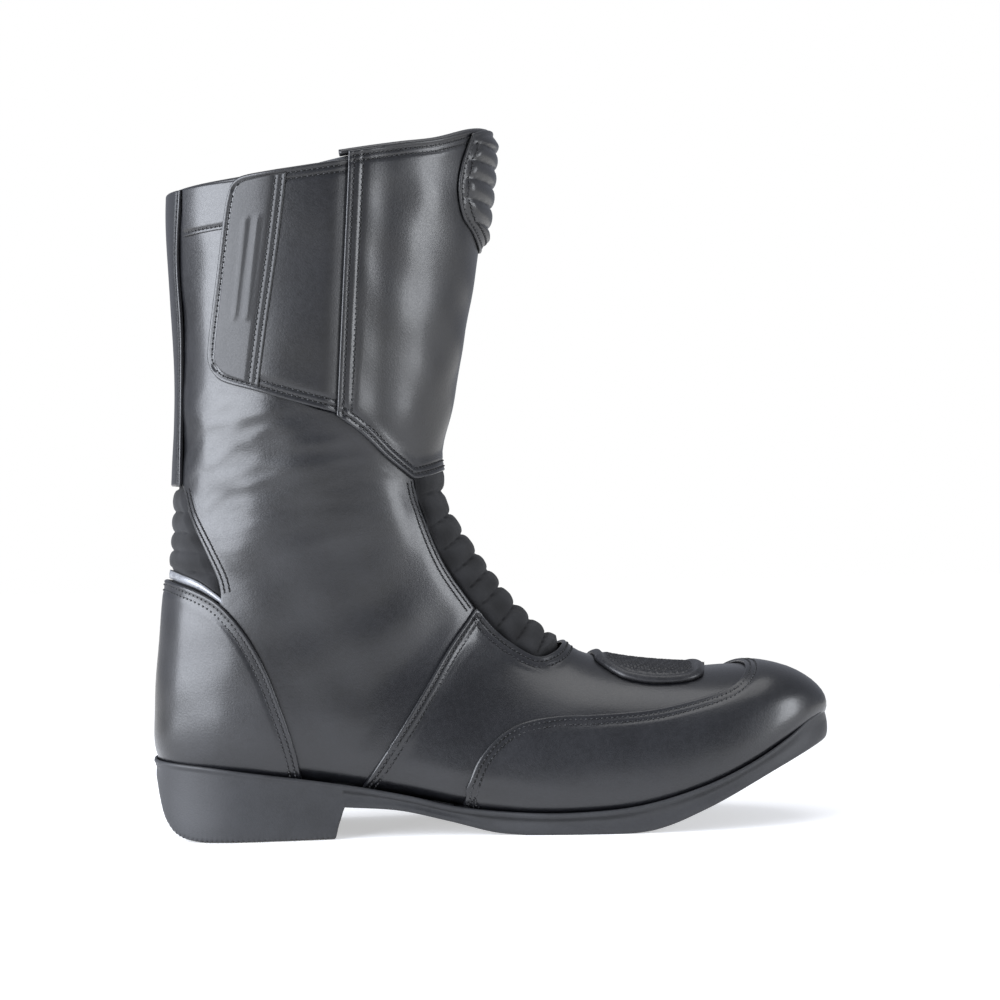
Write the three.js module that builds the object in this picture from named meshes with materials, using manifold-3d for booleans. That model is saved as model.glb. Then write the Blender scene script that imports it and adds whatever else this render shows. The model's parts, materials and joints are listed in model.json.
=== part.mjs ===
// A left motorcycle riding boot, in millimetres. +X points to the toe, -Y is the medial (zip) side, +Z is up.
// The origin is on the floor, in the middle of the boot's box.
//
// One smooth surface, the last surface, is the outer face of the base leather. Every leather, lining and
// stiffener lies in a layer between two offsets of it, and is cut out by its pattern as seen from the side.
import * as THREE from "three";
import { mergeVertices } from "three/addons/utils/BufferGeometryUtils.js";
import Module from "manifold-3d";

const wasm = await Module();
wasm.setup();

// ---- Overall sizes ----
const footLength = 307; // outsole, heel to toe
const shinHeight = 313; // floor to the top of the front panel
const shaftWidth = 109; // across the top opening
const ankleWidth = 88; // across the narrowest part of the shaft
const heelWidth = 80; // across the heel cup
const ballWidth = 100; // across the upper at the ball of the foot

// ---- Walls and layers: offsets from the last surface, outwards positive ----
const leather = 1.8; // base leather
const overlay = 1.8; // leather sewn on top
const layerGap = 0.3; // between two layers
const seamGap = 0.4; // between two panels of one layer
const stiffener = 1.9;
const lining = 1;
const padThickness = 2.7; // gear-shift pad
const shinPadThickness = 4.5;
const bellowsThickness = 3.2;

// ---- Sole ----
const soleWall = 1.2; // outsole wall around the overlays
const rimReach = 2; // height above the rim where the upper's width is taken
const heelBreast = -71; // front face of the heel
const archHeight = 14; // underside of the sole in front of the heel
const boardThickness = 2;
const footbedThickness = 3;
const shankLength = 86;
const shankWidth = 16;
const shankThickness = 1.6;

// ---- Flap and zip ----
const flapThickness = 1.8;
const flapFacing = 1.4;
const hookStrip = 1;
const chainWidth = 6;
const chainThickness = 2;
const sliderLength = 13;
const sliderWidth = 10;
const sliderPlate = 1;
const pullLength = 18;
const pullWidth = 7;
const pullThickness = 1;
const tapeWidth = 12;
const tapeThickness = 0.8;
const zipSetback = 12; // from the flap's hinge line to the middle of the zip
const slitHalf = 6.5; // from the middle of the zip to the leather beside it

// ---- Frame: the pattern is drawn for these sizes, and grows or shrinks to the sizes above ----
const drawnLength = 307;
const drawnHeight = 313;
const ankleHeight = 150; // below it the height doesn't stretch
const sideways = 1.7; // puts the box's middle on the XZ plane

const grow = (x) => (x * footLength) / drawnLength;
const rise = (z) => {
  const stretch = (shinHeight - ankleHeight) / (drawnHeight - ankleHeight);
  return z <= ankleHeight ? z : ankleHeight + (z - ankleHeight) * stretch;
};
const place = ([x, z]) => new THREE.Vector2(grow(x), rise(z));

// ---- The last surface ----
// Each station is a closed curve in a plane that holds the Y direction: its front or top point, its back or
// bottom point, half its width, its middle in Y, how far from front to back it is widest (0 to 1), and how
// square its front and its back are (2 is an ellipse).
const shaft = shaftWidth / 2;
const ankle = ankleWidth / 2;
const heel = heelWidth / 2;
const ball = ballWidth / 2;
const between = (a, b, share) => a + (b - a) * share;
const stations = [
  [[3, 325], [-141.5, 301], shaft + 0.8, 0, 0.5, 2, 2.1],
  [[0, 290], [-142.8, 274], shaft - 0.5, 0, 0.5, 2, 2.1],
  [[-5.6, 250], [-141.4, 240], between(shaft, ankle, 0.3), 0, 0.5, 2, 2.1],
  [[-11.4, 218], [-140.1, 207], between(shaft, ankle, 0.52), 0, 0.5, 2, 2.1],
  [[-17, 190], [-140.6, 184], between(shaft, ankle, 0.7), 0, 0.5, 2, 2.1],
  [[-22.3, 167], [-141.8, 165], between(shaft, ankle, 0.86), 0, 0.5, 2, 2.1],
  [[-22.6, 150], [-142.8, 148], between(shaft, ankle, 0.98), 0, 0.5, 2, 2.1],
  [[-18.4, 140], [-144.2, 128], between(ankle, heel, 0.35), 0, 0.5, 2, 2.2],
  [[-12.2, 130], [-147, 105], between(ankle, heel, 0.75), 0, 0.51, 1.95, 2.25],
  [[-5.6, 120], [-149.4, 80], heel, 0, 0.53, 1.9, 2.3],
  [[1, 111], [-151, 57], heel, 0.3, 0.55, 1.85, 2.35],
  [[7, 103], [-150.6, 38], heel, 0.6, 0.58, 1.8, 2.4],
  [[12, 97.5], [-142.5, 26], heel, 1, 0.61, 1.8, 2.5],
  [[18, 91.6], [-118, 23.5], heel, 1.5, 0.64, 1.8, 2.8],
  [[24, 86.6], [-85, 21], heel, 2, 0.67, 1.8, 3],
  [[31, 82], [-50, 16.5], between(heel, ball, 0.2), 2.6, 0.69, 1.85, 3.2],
  [[39, 78.2], [-15, 10.8], between(heel, ball, 0.6), 3, 0.71, 1.9, 3.4],
  [[48, 75.2], [20, 6.5], between(heel, ball, 0.92), 3, 0.72, 2, 3.6],
  [[60, 72.6], [50, 6.8], ball, 2.5, 0.72, 2.1, 3.8],
  [[75, 70.6], [75, 11], ball - 1, 1.4, 0.72, 2.2, 3.8],
  [[92, 69.4], [95, 18], ball - 3, 0, 0.71, 2.3, 3.6],
  [[108, 70], [111, 26], ball - 7.4, -1.6, 0.69, 2.4, 3.4],
  [[121.5, 70.2], [124.5, 33.5], ball - 13.4, -3.2, 0.66, 2.4, 3],
  [[133, 67.6], [135, 39.6], ball - 21, -4.8, 0.62, 2.3, 2.6],
  [[142, 63], [142.8, 44], ball - 29.6, -6.2, 0.57, 2.2, 2.3],
  [[147.8, 57.6], [148, 47.6], ball - 38.4, -7.2, 0.53, 2.1, 2.1],
  [[150.1, 52.2], [150.1, 52], 0, -8, 0.5, 2, 2],
];

function catmullRom(a, b, c, d, t) {
  const linear = (c - a) * t;
  const square = (2 * a - 5 * b + 4 * c - d) * t * t;
  const cube = (3 * b - a - 3 * c + d) * t * t * t;
  return b + (linear + square + cube) / 2;
}

const columns = stations.map(([front, back, ...rest]) => {
  const f = place(front);
  const b = place(back);
  return [f.x, f.y, b.x, b.y, ...rest];
});

function stationAt(s) {
  const last = columns.length - 1;
  const i = Math.min(Math.max(Math.floor(s), 0), last - 1);
  const before = columns[Math.max(i - 1, 0)];
  const after = columns[Math.min(i + 2, last)];
  return columns[i].map((value, k) => catmullRom(before[k], value, columns[i + 1][k], after[k], s - i));
}

// turn runs from 0 at the front, by 0.25 on the medial side and 0.5 at the back, to 1.
function surfacePoint(s, turn) {
  const [fx, fz, bx, bz, half, middle, widest, front, back] = stationAt(s);
  const c = Math.cos(2 * Math.PI * turn);
  const d = Math.sin(2 * Math.PI * turn);
  const power = 2 / (c >= 0 ? front : back);
  const reach = Math.abs(c) ** power;
  const along = c >= 0 ? widest * (1 - reach) : widest + (1 - widest) * reach;
  const y = middle + sideways - Math.max(half, 0) * Math.sign(d) * Math.abs(d) ** power;
  return new THREE.Vector3(fx + (bx - fx) * along, y, fz + (bz - fz) * along);
}

function surfaceNormal(s, turn) {
  const last = columns.length - 1;
  if (s >= last) return new THREE.Vector3(1, 0, 0);
  const ds = 0.2;
  const dt = 0.012;
  const above = surfacePoint(Math.max(s - ds, 0), turn);
  const alongStations = surfacePoint(Math.min(s + ds, last), turn).sub(above);
  const around = surfacePoint(s, turn + dt).sub(surfacePoint(s, turn - dt));
  return around.cross(alongStations).normalize();
}

// Where the medial side of the last surface shows a spot of the side view: its station and its turn.
function medialPlace(spot) {
  const side = (s) => {
    const [fx, fz, bx, bz] = stationAt(s);
    return (bx - fx) * (spot.y - fz) - (bz - fz) * (spot.x - fx);
  };
  let low = 0;
  let high = columns.length - 1;
  for (let i = 0; i < 40; i++) {
    const middle = (low + high) / 2;
    if (side(middle) > 0) low = middle;
    else high = middle;
  }
  const [fx, fz, bx, bz, , , widest, front, back] = stationAt(low);
  const length2 = (bx - fx) ** 2 + (bz - fz) ** 2;
  const along = ((spot.x - fx) * (bx - fx) + (spot.y - fz) * (bz - fz)) / length2;
  const forward = along < widest;
  const reach = forward ? (widest - along) / widest : (along - widest) / (1 - widest);
  const angle = Math.acos(Math.min(reach, 1) ** ((forward ? front : back) / 2));
  return [low, (forward ? angle : Math.PI - angle) / (2 * Math.PI)];
}

// ---- Solids ----
function solidOf(geometry) {
  const bare = geometry.clone();
  bare.deleteAttribute("normal");
  bare.deleteAttribute("uv");
  const merged = mergeVertices(bare, 1e-4);
  const vertProperties = merged.attributes.position.array;
  const triVerts = new Uint32Array(merged.index.array);
  return new wasm.Manifold(new wasm.Mesh({ numProp: 3, vertProperties, triVerts }));
}

function geometryOf(solid) {
  const { numProp, vertProperties, triVerts } = solid.getMesh();
  const points = new Float32Array((vertProperties.length / numProp) * 3);
  for (let i = 0; i < points.length / 3; i++) {
    points.set(vertProperties.subarray(i * numProp, i * numProp + 3), i * 3);
  }
  const geometry = new THREE.BufferGeometry();
  geometry.setAttribute("position", new THREE.BufferAttribute(points, 3));
  geometry.setIndex(new THREE.BufferAttribute(new Uint32Array(triVerts), 1));
  return geometry;
}

const turns = 24; // points around each station
const lastStation = columns.length - 1;

// The whole boot as one solid, from the top opening to the toe, grown by an offset.
function lastSolid(offset) {
  const points = [];
  for (let s = 0; s < lastStation; s++) {
    for (let k = 0; k < turns; k++) {
      const turn = k / turns;
      points.push(surfacePoint(s, turn).addScaledVector(surfaceNormal(s, turn), offset));
    }
  }
  const toe = surfacePoint(lastStation, 0);
  points.push(toe.addScaledVector(surfaceNormal(lastStation, 0), offset));
  const lid = new THREE.Vector3();
  points.slice(0, turns).forEach((p) => lid.addScaledVector(p, 1 / turns));
  points.push(lid);
  const tip = lastStation * turns;
  const faces = [];
  for (let k = 0; k < turns; k++) {
    const next = (k + 1) % turns;
    for (let s = 0; s < lastStation - 1; s++) {
      const a = s * turns + k;
      const b = s * turns + next;
      faces.push(a, b, a + turns, b, b + turns, a + turns);
    }
    faces.push(tip - turns + k, tip - turns + next, tip);
    faces.push(tip + 1, next, k);
  }
  const geometry = new THREE.BufferGeometry().setFromPoints(points);
  geometry.setIndex(faces);
  return solidOf(geometry);
}

const lastSolids = new Map();
function grown(offset) {
  const key = offset.toFixed(3);
  if (!lastSolids.has(key)) lastSolids.set(key, lastSolid(offset));
  return lastSolids.get(key);
}

// ---- Patterns, drawn in the side view as (x, z) ----
const curve = (points, steps) => new THREE.SplineCurve(points.map(place)).getPoints(steps);
const line = (...points) => points.map(place);

// An outline without the points that two joined curves share.
const ringOf = (outline) => outline.filter((p, i) => p.distanceTo(outline[(i + 1) % outline.length]) > 0.05);

// Moves each edge of an outline towards its inside.
function inset(outline, distance) {
  const clean = ringOf(outline);
  const ring = THREE.ShapeUtils.isClockWise(clean) ? clean.reverse() : clean;
  return ring.map((p, i) => {
    const before = ring[(i + ring.length - 1) % ring.length];
    const after = ring[(i + 1) % ring.length];
    const into = new THREE.Vector2().subVectors(p, before).normalize();
    const out = new THREE.Vector2().subVectors(after, p).normalize();
    const left = new THREE.Vector2(-into.y - out.y, into.x + out.x).normalize();
    const miter = Math.max(new THREE.Vector2(-into.y, into.x).dot(left), 0.4);
    return p.clone().addScaledVector(left, distance / miter);
  });
}

// A solid with the outline's shape in the side view, between two values of y.
const farOut = 120;
function sideSolid(outline, yMin = -farOut, yMax = farOut) {
  const geometry = new THREE.ExtrudeGeometry(new THREE.Shape(ringOf(outline)), {
    depth: yMax - yMin,
    bevelEnabled: false,
  });
  geometry.rotateX(Math.PI / 2);
  geometry.translate(0, yMax, 0);
  return solidOf(geometry);
}

const layer = (inner, outer) => grown(outer).subtract(grown(inner));
const medialHalf = [-farOut, sideways - seamGap / 2];
const lateralHalf = [sideways + seamGap / 2, farOut];

// A panel: the part of a layer inside an outline.
function panel(inner, outer, outline, range = [-farOut, farOut]) {
  return layer(inner, outer).intersect(sideSolid(inset(outline, seamGap / 2), ...range));
}

// The bottom of the upper from the heel to the toe, raised by a height.
function bottomLine(height) {
  const steps = [12, 12.5, 13, 14, 15, 16, 17, 18, 19, 20, 21, 22, 23, 24, 25];
  return steps.map((s) => {
    const [, , bx, bz] = stationAt(s);
    return new THREE.Vector2(bx, bz + height);
  });
}

const overlayInner = layerGap;
const overlayOuter = layerGap + overlay;
const boardTop = layerGap + boardThickness;
const footbedTop = boardTop + layerGap + footbedThickness;
const farAway = 400;
// Everything above the bottom line raised by a height.
function aboveBottom(height) {
  const ends = bottomLine(height);
  const first = ends[0];
  const last = ends[ends.length - 1];
  const outline = [
    new THREE.Vector2(-farAway, first.y + 1),
    ...ends,
    new THREE.Vector2(last.x + 4, last.y + 2),
    new THREE.Vector2(farAway, last.y + 3),
    new THREE.Vector2(farAway, farAway),
    new THREE.Vector2(-farAway, farAway),
  ];
  return sideSolid(outline);
}
const overBoard = aboveBottom(boardTop + layerGap);
const overFootbed = aboveBottom(footbedTop + layerGap);

// Seams shared by two panels.
const vampSeam = curve(
  [[-9.5, 98.5], [-22.1, 82.4], [-33.3, 65.3], [-46.8, 44.7], [-60.2, 24.7], [-68, 6]],
  10,
);
const bellowsSide = curve([[-37.5, 158.6], [-34.6, 145.9], [-24.4, 120.5], [-9.5, 98.5]], 8);
const bellowsToe = curve(
  [[-9.5, 98.5], [-1.8, 89], [8.3, 80.8], [17.2, 76.1], [25, 77.5], [34, 83], [42, 92]],
  10,
);
const panelFoot = curve([[-71.4, 186.5], [-59.8, 178], [-49.2, 167.9], [-37.5, 158.6]], 6);
const hingeLine = line([-64.7, 298.5], [-71.4, 186.5]);
const heelBellows = curve(
  [[-138.6, 154.3], [-135.8, 141.1], [-129.6, 126.6], [-124.6, 114.7], [-123, 108]],
  6,
);
const counterEdge = curve(
  [[-149, 115.5], [-144.8, 114.1], [-132, 109.4], [-122.7, 103.4], [-112.9, 91.5], [-104.6, 76.2],
    [-97.5, 56.9], [-92.2, 40.2], [-86, 14]],
  16,
);
const toeCapEdge = curve(
  [[-22.5, 5], [-20.4, 13.7], [-16.7, 24.9], [-11.3, 35.2], [-3.2, 43.6], [7.9, 49], [23.4, 51.2],
    [41.1, 51.5], [63.4, 52.7], [81.4, 55.7], [99.1, 60], [110, 65.8], [121, 76]],
  20,
);
const quarterTop = line([-160, 285.4], [-111.8, 288]);
const frontTop = line([-64.7, 298.5], [-42.9, 302.4], [-25.5, 305.4], [-5.5, 312], [20, 318]);

const shift = (points, dx, dz) => points.map((p) => new THREE.Vector2(p.x + dx, p.y + dz));

// ---- The zip's straight line and frame ----
const hingeSlope = new THREE.Vector2().subVectors(hingeLine[0], hingeLine[1]).normalize();
const besideHinge = (setback, z) => {
  const share = (z - hingeLine[1].y) / (hingeLine[0].y - hingeLine[1].y);
  return new THREE.Vector2(between(hingeLine[1].x, hingeLine[0].x, share) - setback, z);
};
const zipTopHeight = rise(288);
const zipFootHeight = rise(193);
const zipTop = besideHinge(zipSetback, zipTopHeight);
const zipFoot = besideHinge(zipSetback, zipFootHeight);

// A frame on the medial side: X across towards the heel, Y down along the zip, Z outwards.
function sideFrame(from, to) {
  const [start, end] = [from, to].map((spot) => {
    const [s, turn] = medialPlace(spot);
    return { point: surfacePoint(s, turn), normal: surfaceNormal(s, turn) };
  });
  const down = new THREE.Vector3().subVectors(end.point, start.point);
  const length = down.length();
  down.normalize();
  const normal = start.normal.clone().add(end.normal).normalize();
  const across = new THREE.Vector3().crossVectors(down, normal).normalize();
  const outward = new THREE.Vector3().crossVectors(across, down).normalize();
  const matrix = new THREE.Matrix4().makeBasis(across, down, outward).setPosition(start.point);
  return { matrix, length };
}
const zip = sideFrame(zipTop, zipFoot);

// A box in the zip's frame, from its lowest to its highest corner.
function zipBox(low, high) {
  const size = high.map((value, i) => value - low[i]);
  const geometry = new THREE.BoxGeometry(...size);
  geometry.translate(...low.map((value, i) => value + size[i] / 2));
  return solidOf(geometry.applyMatrix4(zip.matrix));
}

// ---- Foot ----
// The height of a line of points, ordered along X, at a value of x.
function heightOn(points, x) {
  const i = Math.max(points.findIndex((p) => p.x > x), 1);
  const a = points[i - 1];
  const b = points[i];
  return between(a.y, b.y, (x - a.x) / (b.x - a.x));
}

const rimLine = curve(
  [[-160, 35.5], [-133.3, 33.6], [-111.9, 30.5], [-89.5, 27.2], [-64.5, 23], [-42.7, 18.4], [-20, 12.8],
    [5.5, 10.2], [32.1, 10], [59, 12.6], [86.1, 20], [108.8, 29.5], [127.2, 39.6], [142, 48.5], [160, 54]],
  26,
);

// The outsole's outline from above: the upper where the rim meets it, grown by the overlay and the wall.
function soleOutline() {
  const heelEnd = columns[11][2] + 0.2;
  const toeEnd = columns[lastStation][0] - 0.2;
  const steps = 30;
  const medial = [];
  const lateral = [];
  for (let i = 0; i <= steps; i++) {
    const x = between(heelEnd, toeEnd, (1 - Math.cos((Math.PI * i) / steps)) / 2);
    const [s, turn] = medialPlace(new THREE.Vector2(x, heightOn(rimLine, x) + rimReach));
    medial.push(new THREE.Vector2(x, surfacePoint(s, turn).y));
    lateral.push(new THREE.Vector2(x, surfacePoint(s, 1 - turn).y));
  }
  return inset([...medial, ...lateral.reverse()], -(overlayOuter + layerGap + soleWall));
}

const breast = grow(heelBreast);
const soleUnder = [
  ...line([-160, 32], [-150.4, 24], [-148.4, 16], [-146.3, 9.5], [-141.5, 4.8], [-133.5, 2], [-123, 0]),
  new THREE.Vector2(breast - 4, 0),
  new THREE.Vector2(breast, archHeight),
  ...curve([[-47, 11.8], [-25, 6.4], [-6, 1.4], [8, 0]], 5),
  ...line([62, 0], [66, 0.8]),
  ...curve([[78, 5.4], [95, 13.2], [112, 21.5], [122, 26.2], [132.6, 30.8], [141, 34.2], [149, 37.1]], 6),
  ...line([151.6, 39.2], [153.2, 42.6], [160, 48]),
];

const shankStart = grow(-100);
function shankOutline(clearance) {
  const bottom = bottomLine(0);
  const at = (x, height) => new THREE.Vector2(x, heightOn(bottom, x) + height);
  const low = -layerGap - shankThickness - clearance;
  const high = -layerGap + clearance;
  const steps = [0, 0.25, 0.5, 0.75, 1];
  const xs = steps.map((share) => shankStart - clearance + share * (shankLength + 2 * clearance));
  const top = clearance > 0 ? high + 4 : high;
  return [...xs.map((x) => at(x, low)), ...xs.reverse().map((x) => at(x, top))];
}
function shankSolid(clearance) {
  const half = shankWidth / 2 + clearance;
  return sideSolid(shankOutline(clearance), sideways + 2 - half, sideways + 2 + half);
}

function outsole() {
  const plan = new THREE.ExtrudeGeometry(new THREE.Shape(soleOutline()), { depth: 90, bevelEnabled: false });
  plan.translate(0, 0, -10);
  const block = solidOf(plan).intersect(sideSolid([...soleUnder, ...[...rimLine].reverse()]));
  const aroundOverlays = overlayOuter + layerGap;
  const room = grown(layerGap).add(toeCapPattern(aroundOverlays)).add(counterPattern(aroundOverlays));
  return block.subtract(room).subtract(shankSolid(layerGap));
}

// The solid behind the heel counter's edge, and the one in front of the toe cap's, out to an offset.
function counterPattern(offset) {
  const outline = [...counterEdge, ...line([-86, -10], [-190, -10], [-190, 116])];
  return grown(offset).intersect(sideSolid(outline));
}
function toeCapPattern(offset) {
  const outline = [...toeCapEdge, ...line([140, 110], [220, 110], [220, -20], [-22.5, -20])];
  return grown(offset).intersect(sideSolid(outline));
}

const insoleBoard = () =>
  grown(-layerGap).intersect(aboveBottom(layerGap)).subtract(aboveBottom(boardTop));
const footbed = () =>
  grown(-leather - 2 * layerGap)
    .intersect(overBoard)
    .subtract(aboveBottom(footbedTop));

const heelCounter = () => counterPattern(overlayOuter).subtract(grown(overlayInner)).intersect(overBoard);
const toeCap = () => toeCapPattern(overlayOuter).subtract(grown(overlayInner)).intersect(overBoard);

function vamp() {
  const front = line([60, 130], [220, 130], [220, -20], [-68, -20]);
  const outline = [...[...vampSeam].reverse(), ...bellowsToe, ...front];
  return panel(-leather, 0, outline).intersect(overBoard);
}

function shiftPad() {
  const edge = curve(
    [[44.2, 82], [45, 75.5], [48.5, 70.8], [57, 65.8], [68, 63.9], [84, 64], [93, 67], [97.2, 71.3],
      [98, 78]],
    14,
  );
  return panel(layerGap, layerGap + padThickness, [...edge, ...line([98, 110], [44.2, 110])]);
}

// ---- Quarters: from the lasting edge up to the collar, split along the back ----
function quarterOutline(frontEdge) {
  return [
    ...quarterTop,
    ...frontEdge,
    ...panelFoot.slice(1),
    ...bellowsSide.slice(1),
    ...vampSeam.slice(1),
    ...line([-68, -20], [-190, -20], [-190, 104], [-123, 104]),
    ...[...heelBellows].reverse(),
    ...line([-160, 158]),
  ];
}
function quarter(range, frontEdge) {
  return panel(-leather, 0, quarterOutline(frontEdge), range).intersect(overBoard);
}
const zipEdge = (setback) => [
  besideHinge(zipSetback + setback, rise(290)),
  besideHinge(zipSetback + setback, zipFootHeight - 4),
  besideHinge(zipSetback - slitHalf, zipFootHeight - 4),
];
const medialQuarter = () =>
  quarter(medialHalf, [...zipEdge(slitHalf), besideHinge(zipSetback - slitHalf, rise(190)), hingeLine[1]]);
const lateralQuarter = () => quarter(lateralHalf, [place([-64.6, 294.8]), hingeLine[1]]);

function shaftFrontOutline(rearEdge) {
  return [
    ...rearEdge,
    ...panelFoot,
    ...line([-29.2, 160.6], [-15, 165], [40, 175], [40, 320]),
    ...[...frontTop].reverse(),
  ];
}
function shaftFront() {
  const medialEdge = [
    besideHinge(zipSetback - slitHalf, rise(296)),
    besideHinge(zipSetback - slitHalf, rise(190)),
  ];
  const medial = panel(-leather, 0, shaftFrontOutline(medialEdge), [-farOut, sideways]);
  const lateral = panel(-leather, 0, shaftFrontOutline([]), [sideways, farOut]);
  return medial.add(lateral);
}

const bellowsHalf = bellowsThickness / 2;
function instepBellows() {
  const outline = [
    ...bellowsSide,
    ...bellowsToe.slice(1),
    ...line([60, 110], [60, 175], [-15, 165], [-29.2, 160.6]),
  ];
  return panel(-bellowsHalf, bellowsHalf, outline);
}
function rearBellows() {
  const outline = [...heelBellows, ...line([-123, 104], [-190, 104], [-190, 158], [-160, 158])];
  return panel(-bellowsHalf, overlayInner - layerGap, outline);
}

function reflectiveStrip() {
  const lower = shift(counterEdge.slice(0, 6), 0, 1);
  const upper = shift(lower, 0, 3).reverse();
  return panel(overlayInner, overlayInner + 0.7, [...lower, ...upper]);
}
function backStrip() {
  const edge = line([-136.5, 286], [-138.4, 256.3], [-137.2, 225.2], [-137.7, 194.2], [-138.9, 156]);
  return panel(overlayInner, overlayOuter, [...edge, ...line([-190, 156], [-190, 285.4])]);
}
function collarFacing(range) {
  const lower = line([-135.7, 265.2], [-121, 266.4]);
  const upper = line([-118.6, 287.4], [-134.6, 286.6]);
  return panel(overlayInner, overlayOuter, [...lower, ...upper], range);
}
function shinPad() {
  const edge = curve([[-9.5, 311], [-14.7, 296], [-16.4, 284], [-14.2, 273], [-9.4, 267], [-4, 258]], 8);
  return panel(layerGap, layerGap + shinPadThickness, [...edge, ...line([40, 258], [40, 319], [-9.5, 312])]);
}

// ---- Inner pieces ----
const stiffenerInner = -leather - layerGap - stiffener;
const stiffenerOuter = -leather - layerGap;
function heelStiffener() {
  const edge = curve([[-170, 96], [-146, 95], [-126, 84], [-110, 62], [-96, 30], [-88, -10]], 10);
  const outline = [...edge, ...line([-190, -10], [-190, 96])];
  return panel(stiffenerInner, stiffenerOuter, outline).intersect(overFootbed);
}
function toePuff() {
  const edge = curve([[88, -10], [93, 40], [104, 78], [110, 110]], 6);
  const outline = [...edge, ...line([220, 110], [220, -10])];
  return panel(stiffenerInner, stiffenerOuter, outline).intersect(overFootbed);
}
function ankleCup(range) {
  const outline = curve([[-92, 148], [-70, 143], [-60, 122], [-70, 101], [-92, 97], [-110, 108], [-113, 126],
    [-106, 142], [-92, 148]], 14);
  return panel(stiffenerInner, stiffenerOuter, outline.slice(1), range);
}
function shinPlate() {
  const outline = line([-32, 292], [-36, 240], [-44, 186], [-30, 176], [40, 176], [40, 296]);
  return panel(stiffenerInner, stiffenerOuter, outline);
}
function bootLining() {
  const inner = stiffenerInner - layerGap - lining;
  const outline = line([-190, 282], [-66, 290], [-42, 298], [-5, 307], [60, 312], [60, 130], [220, 130],
    [220, -20], [-190, -20]);
  return layer(inner, inner + lining).intersect(sideSolid(outline)).intersect(overFootbed);
}

// ---- Zip and flap ----
const tapeOuter = -leather - layerGap;
const tapeInner = tapeOuter - tapeThickness;
const chainBase = tapeInner - 0.2;
function zipTape(side) {
  const near = side * (chainWidth / 2 + layerGap);
  const far = side * (chainWidth / 2 + layerGap + tapeWidth - 3);
  const outline = [
    besideHinge(zipSetback - near, zipTopHeight),
    besideHinge(zipSetback - near, zipFootHeight),
    besideHinge(zipSetback - far, zipFootHeight),
    besideHinge(zipSetback - far, zipTopHeight),
  ];
  return layer(tapeInner, tapeOuter).intersect(sideSolid(outline, ...medialHalf));
}
const chainTop = chainBase + chainThickness;
const sliderStart = 4;
const stopLength = 3;
const zipChain = () =>
  zipBox([-chainWidth / 2, sliderStart + sliderLength + layerGap, chainBase],
    [chainWidth / 2, zip.length - stopLength - layerGap, chainTop]);
const zipTopStop = () =>
  zipBox([0.2 - chainWidth / 2, 0, chainBase], [chainWidth / 2 - 0.2, stopLength, chainTop + 0.5]);
const zipBottomStop = () =>
  zipBox(
    [0.2 - chainWidth / 2, zip.length - stopLength, chainBase],
    [chainWidth / 2 - 0.2, zip.length, chainTop + 0.5],
  );

// Two plates joined by a post, with a bridge on top that the pull hangs from.
const plateLow = chainTop + layerGap;
const bridgeTop = plateLow + sliderPlate + 2.2;
const bridgeWall = 1;
const postHalf = 1.2; // half the width of the post and the bridge
const pullHole = 2.4;
function zipSlider() {
  const end = sliderStart + sliderLength;
  const half = sliderWidth / 2;
  const topPlate = zipBox([-half, sliderStart, plateLow], [half, end, plateLow + sliderPlate]);
  const lowHalf = chainWidth / 2;
  const lowTop = chainBase - layerGap;
  const lowPlate = zipBox([-lowHalf, sliderStart, lowTop - 0.5], [lowHalf, end, lowTop]);
  const post = zipBox([-postHalf, sliderStart, lowTop - 0.2], [postHalf, sliderStart + 4, plateLow + 0.2]);
  const bridgeStart = sliderStart + 2;
  const bridgeEnd = end - 2;
  const bridge = zipBox([-postHalf, bridgeStart, plateLow + 0.5], [postHalf, bridgeEnd, bridgeTop]);
  const window = zipBox(
    [-postHalf - 1, bridgeStart + bridgeWall, plateLow + sliderPlate],
    [postHalf + 1, bridgeEnd - bridgeWall, bridgeTop - 0.8],
  );
  return topPlate.add(lowPlate).add(post).add(bridge.subtract(window));
}
// The pull: a flat tab that ends in two arms and a round bar, which turns in the slider's bridge.
const pullPin = sliderStart + sliderLength - 2 - bridgeWall - 1.1;
const pullLow = plateLow + sliderPlate + 0.15;
const barRadius = pullThickness / 2;
function zipPull() {
  const half = pullWidth / 2;
  const end = pullPin + pullLength;
  const high = pullLow + pullThickness;
  const bar = new THREE.CylinderGeometry(barRadius, barRadius, pullWidth, 32);
  bar.rotateZ(Math.PI / 2);
  bar.translate(0, pullPin, pullLow + barRadius);
  const tab = zipBox([-half, pullPin, pullLow], [half, end, high]);
  const armGap = postHalf + layerGap;
  const eye = zipBox([-armGap, pullPin, pullLow - 1], [armGap, pullPin + pullHole + 2.2, high + 2]);
  const grip = zipBox([2 - half, end - 4.5, pullLow - 1], [half - 2, end - 2, high + 2]);
  return tab.subtract(eye).subtract(grip).add(solidOf(bar.applyMatrix4(zip.matrix)));
}

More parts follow.
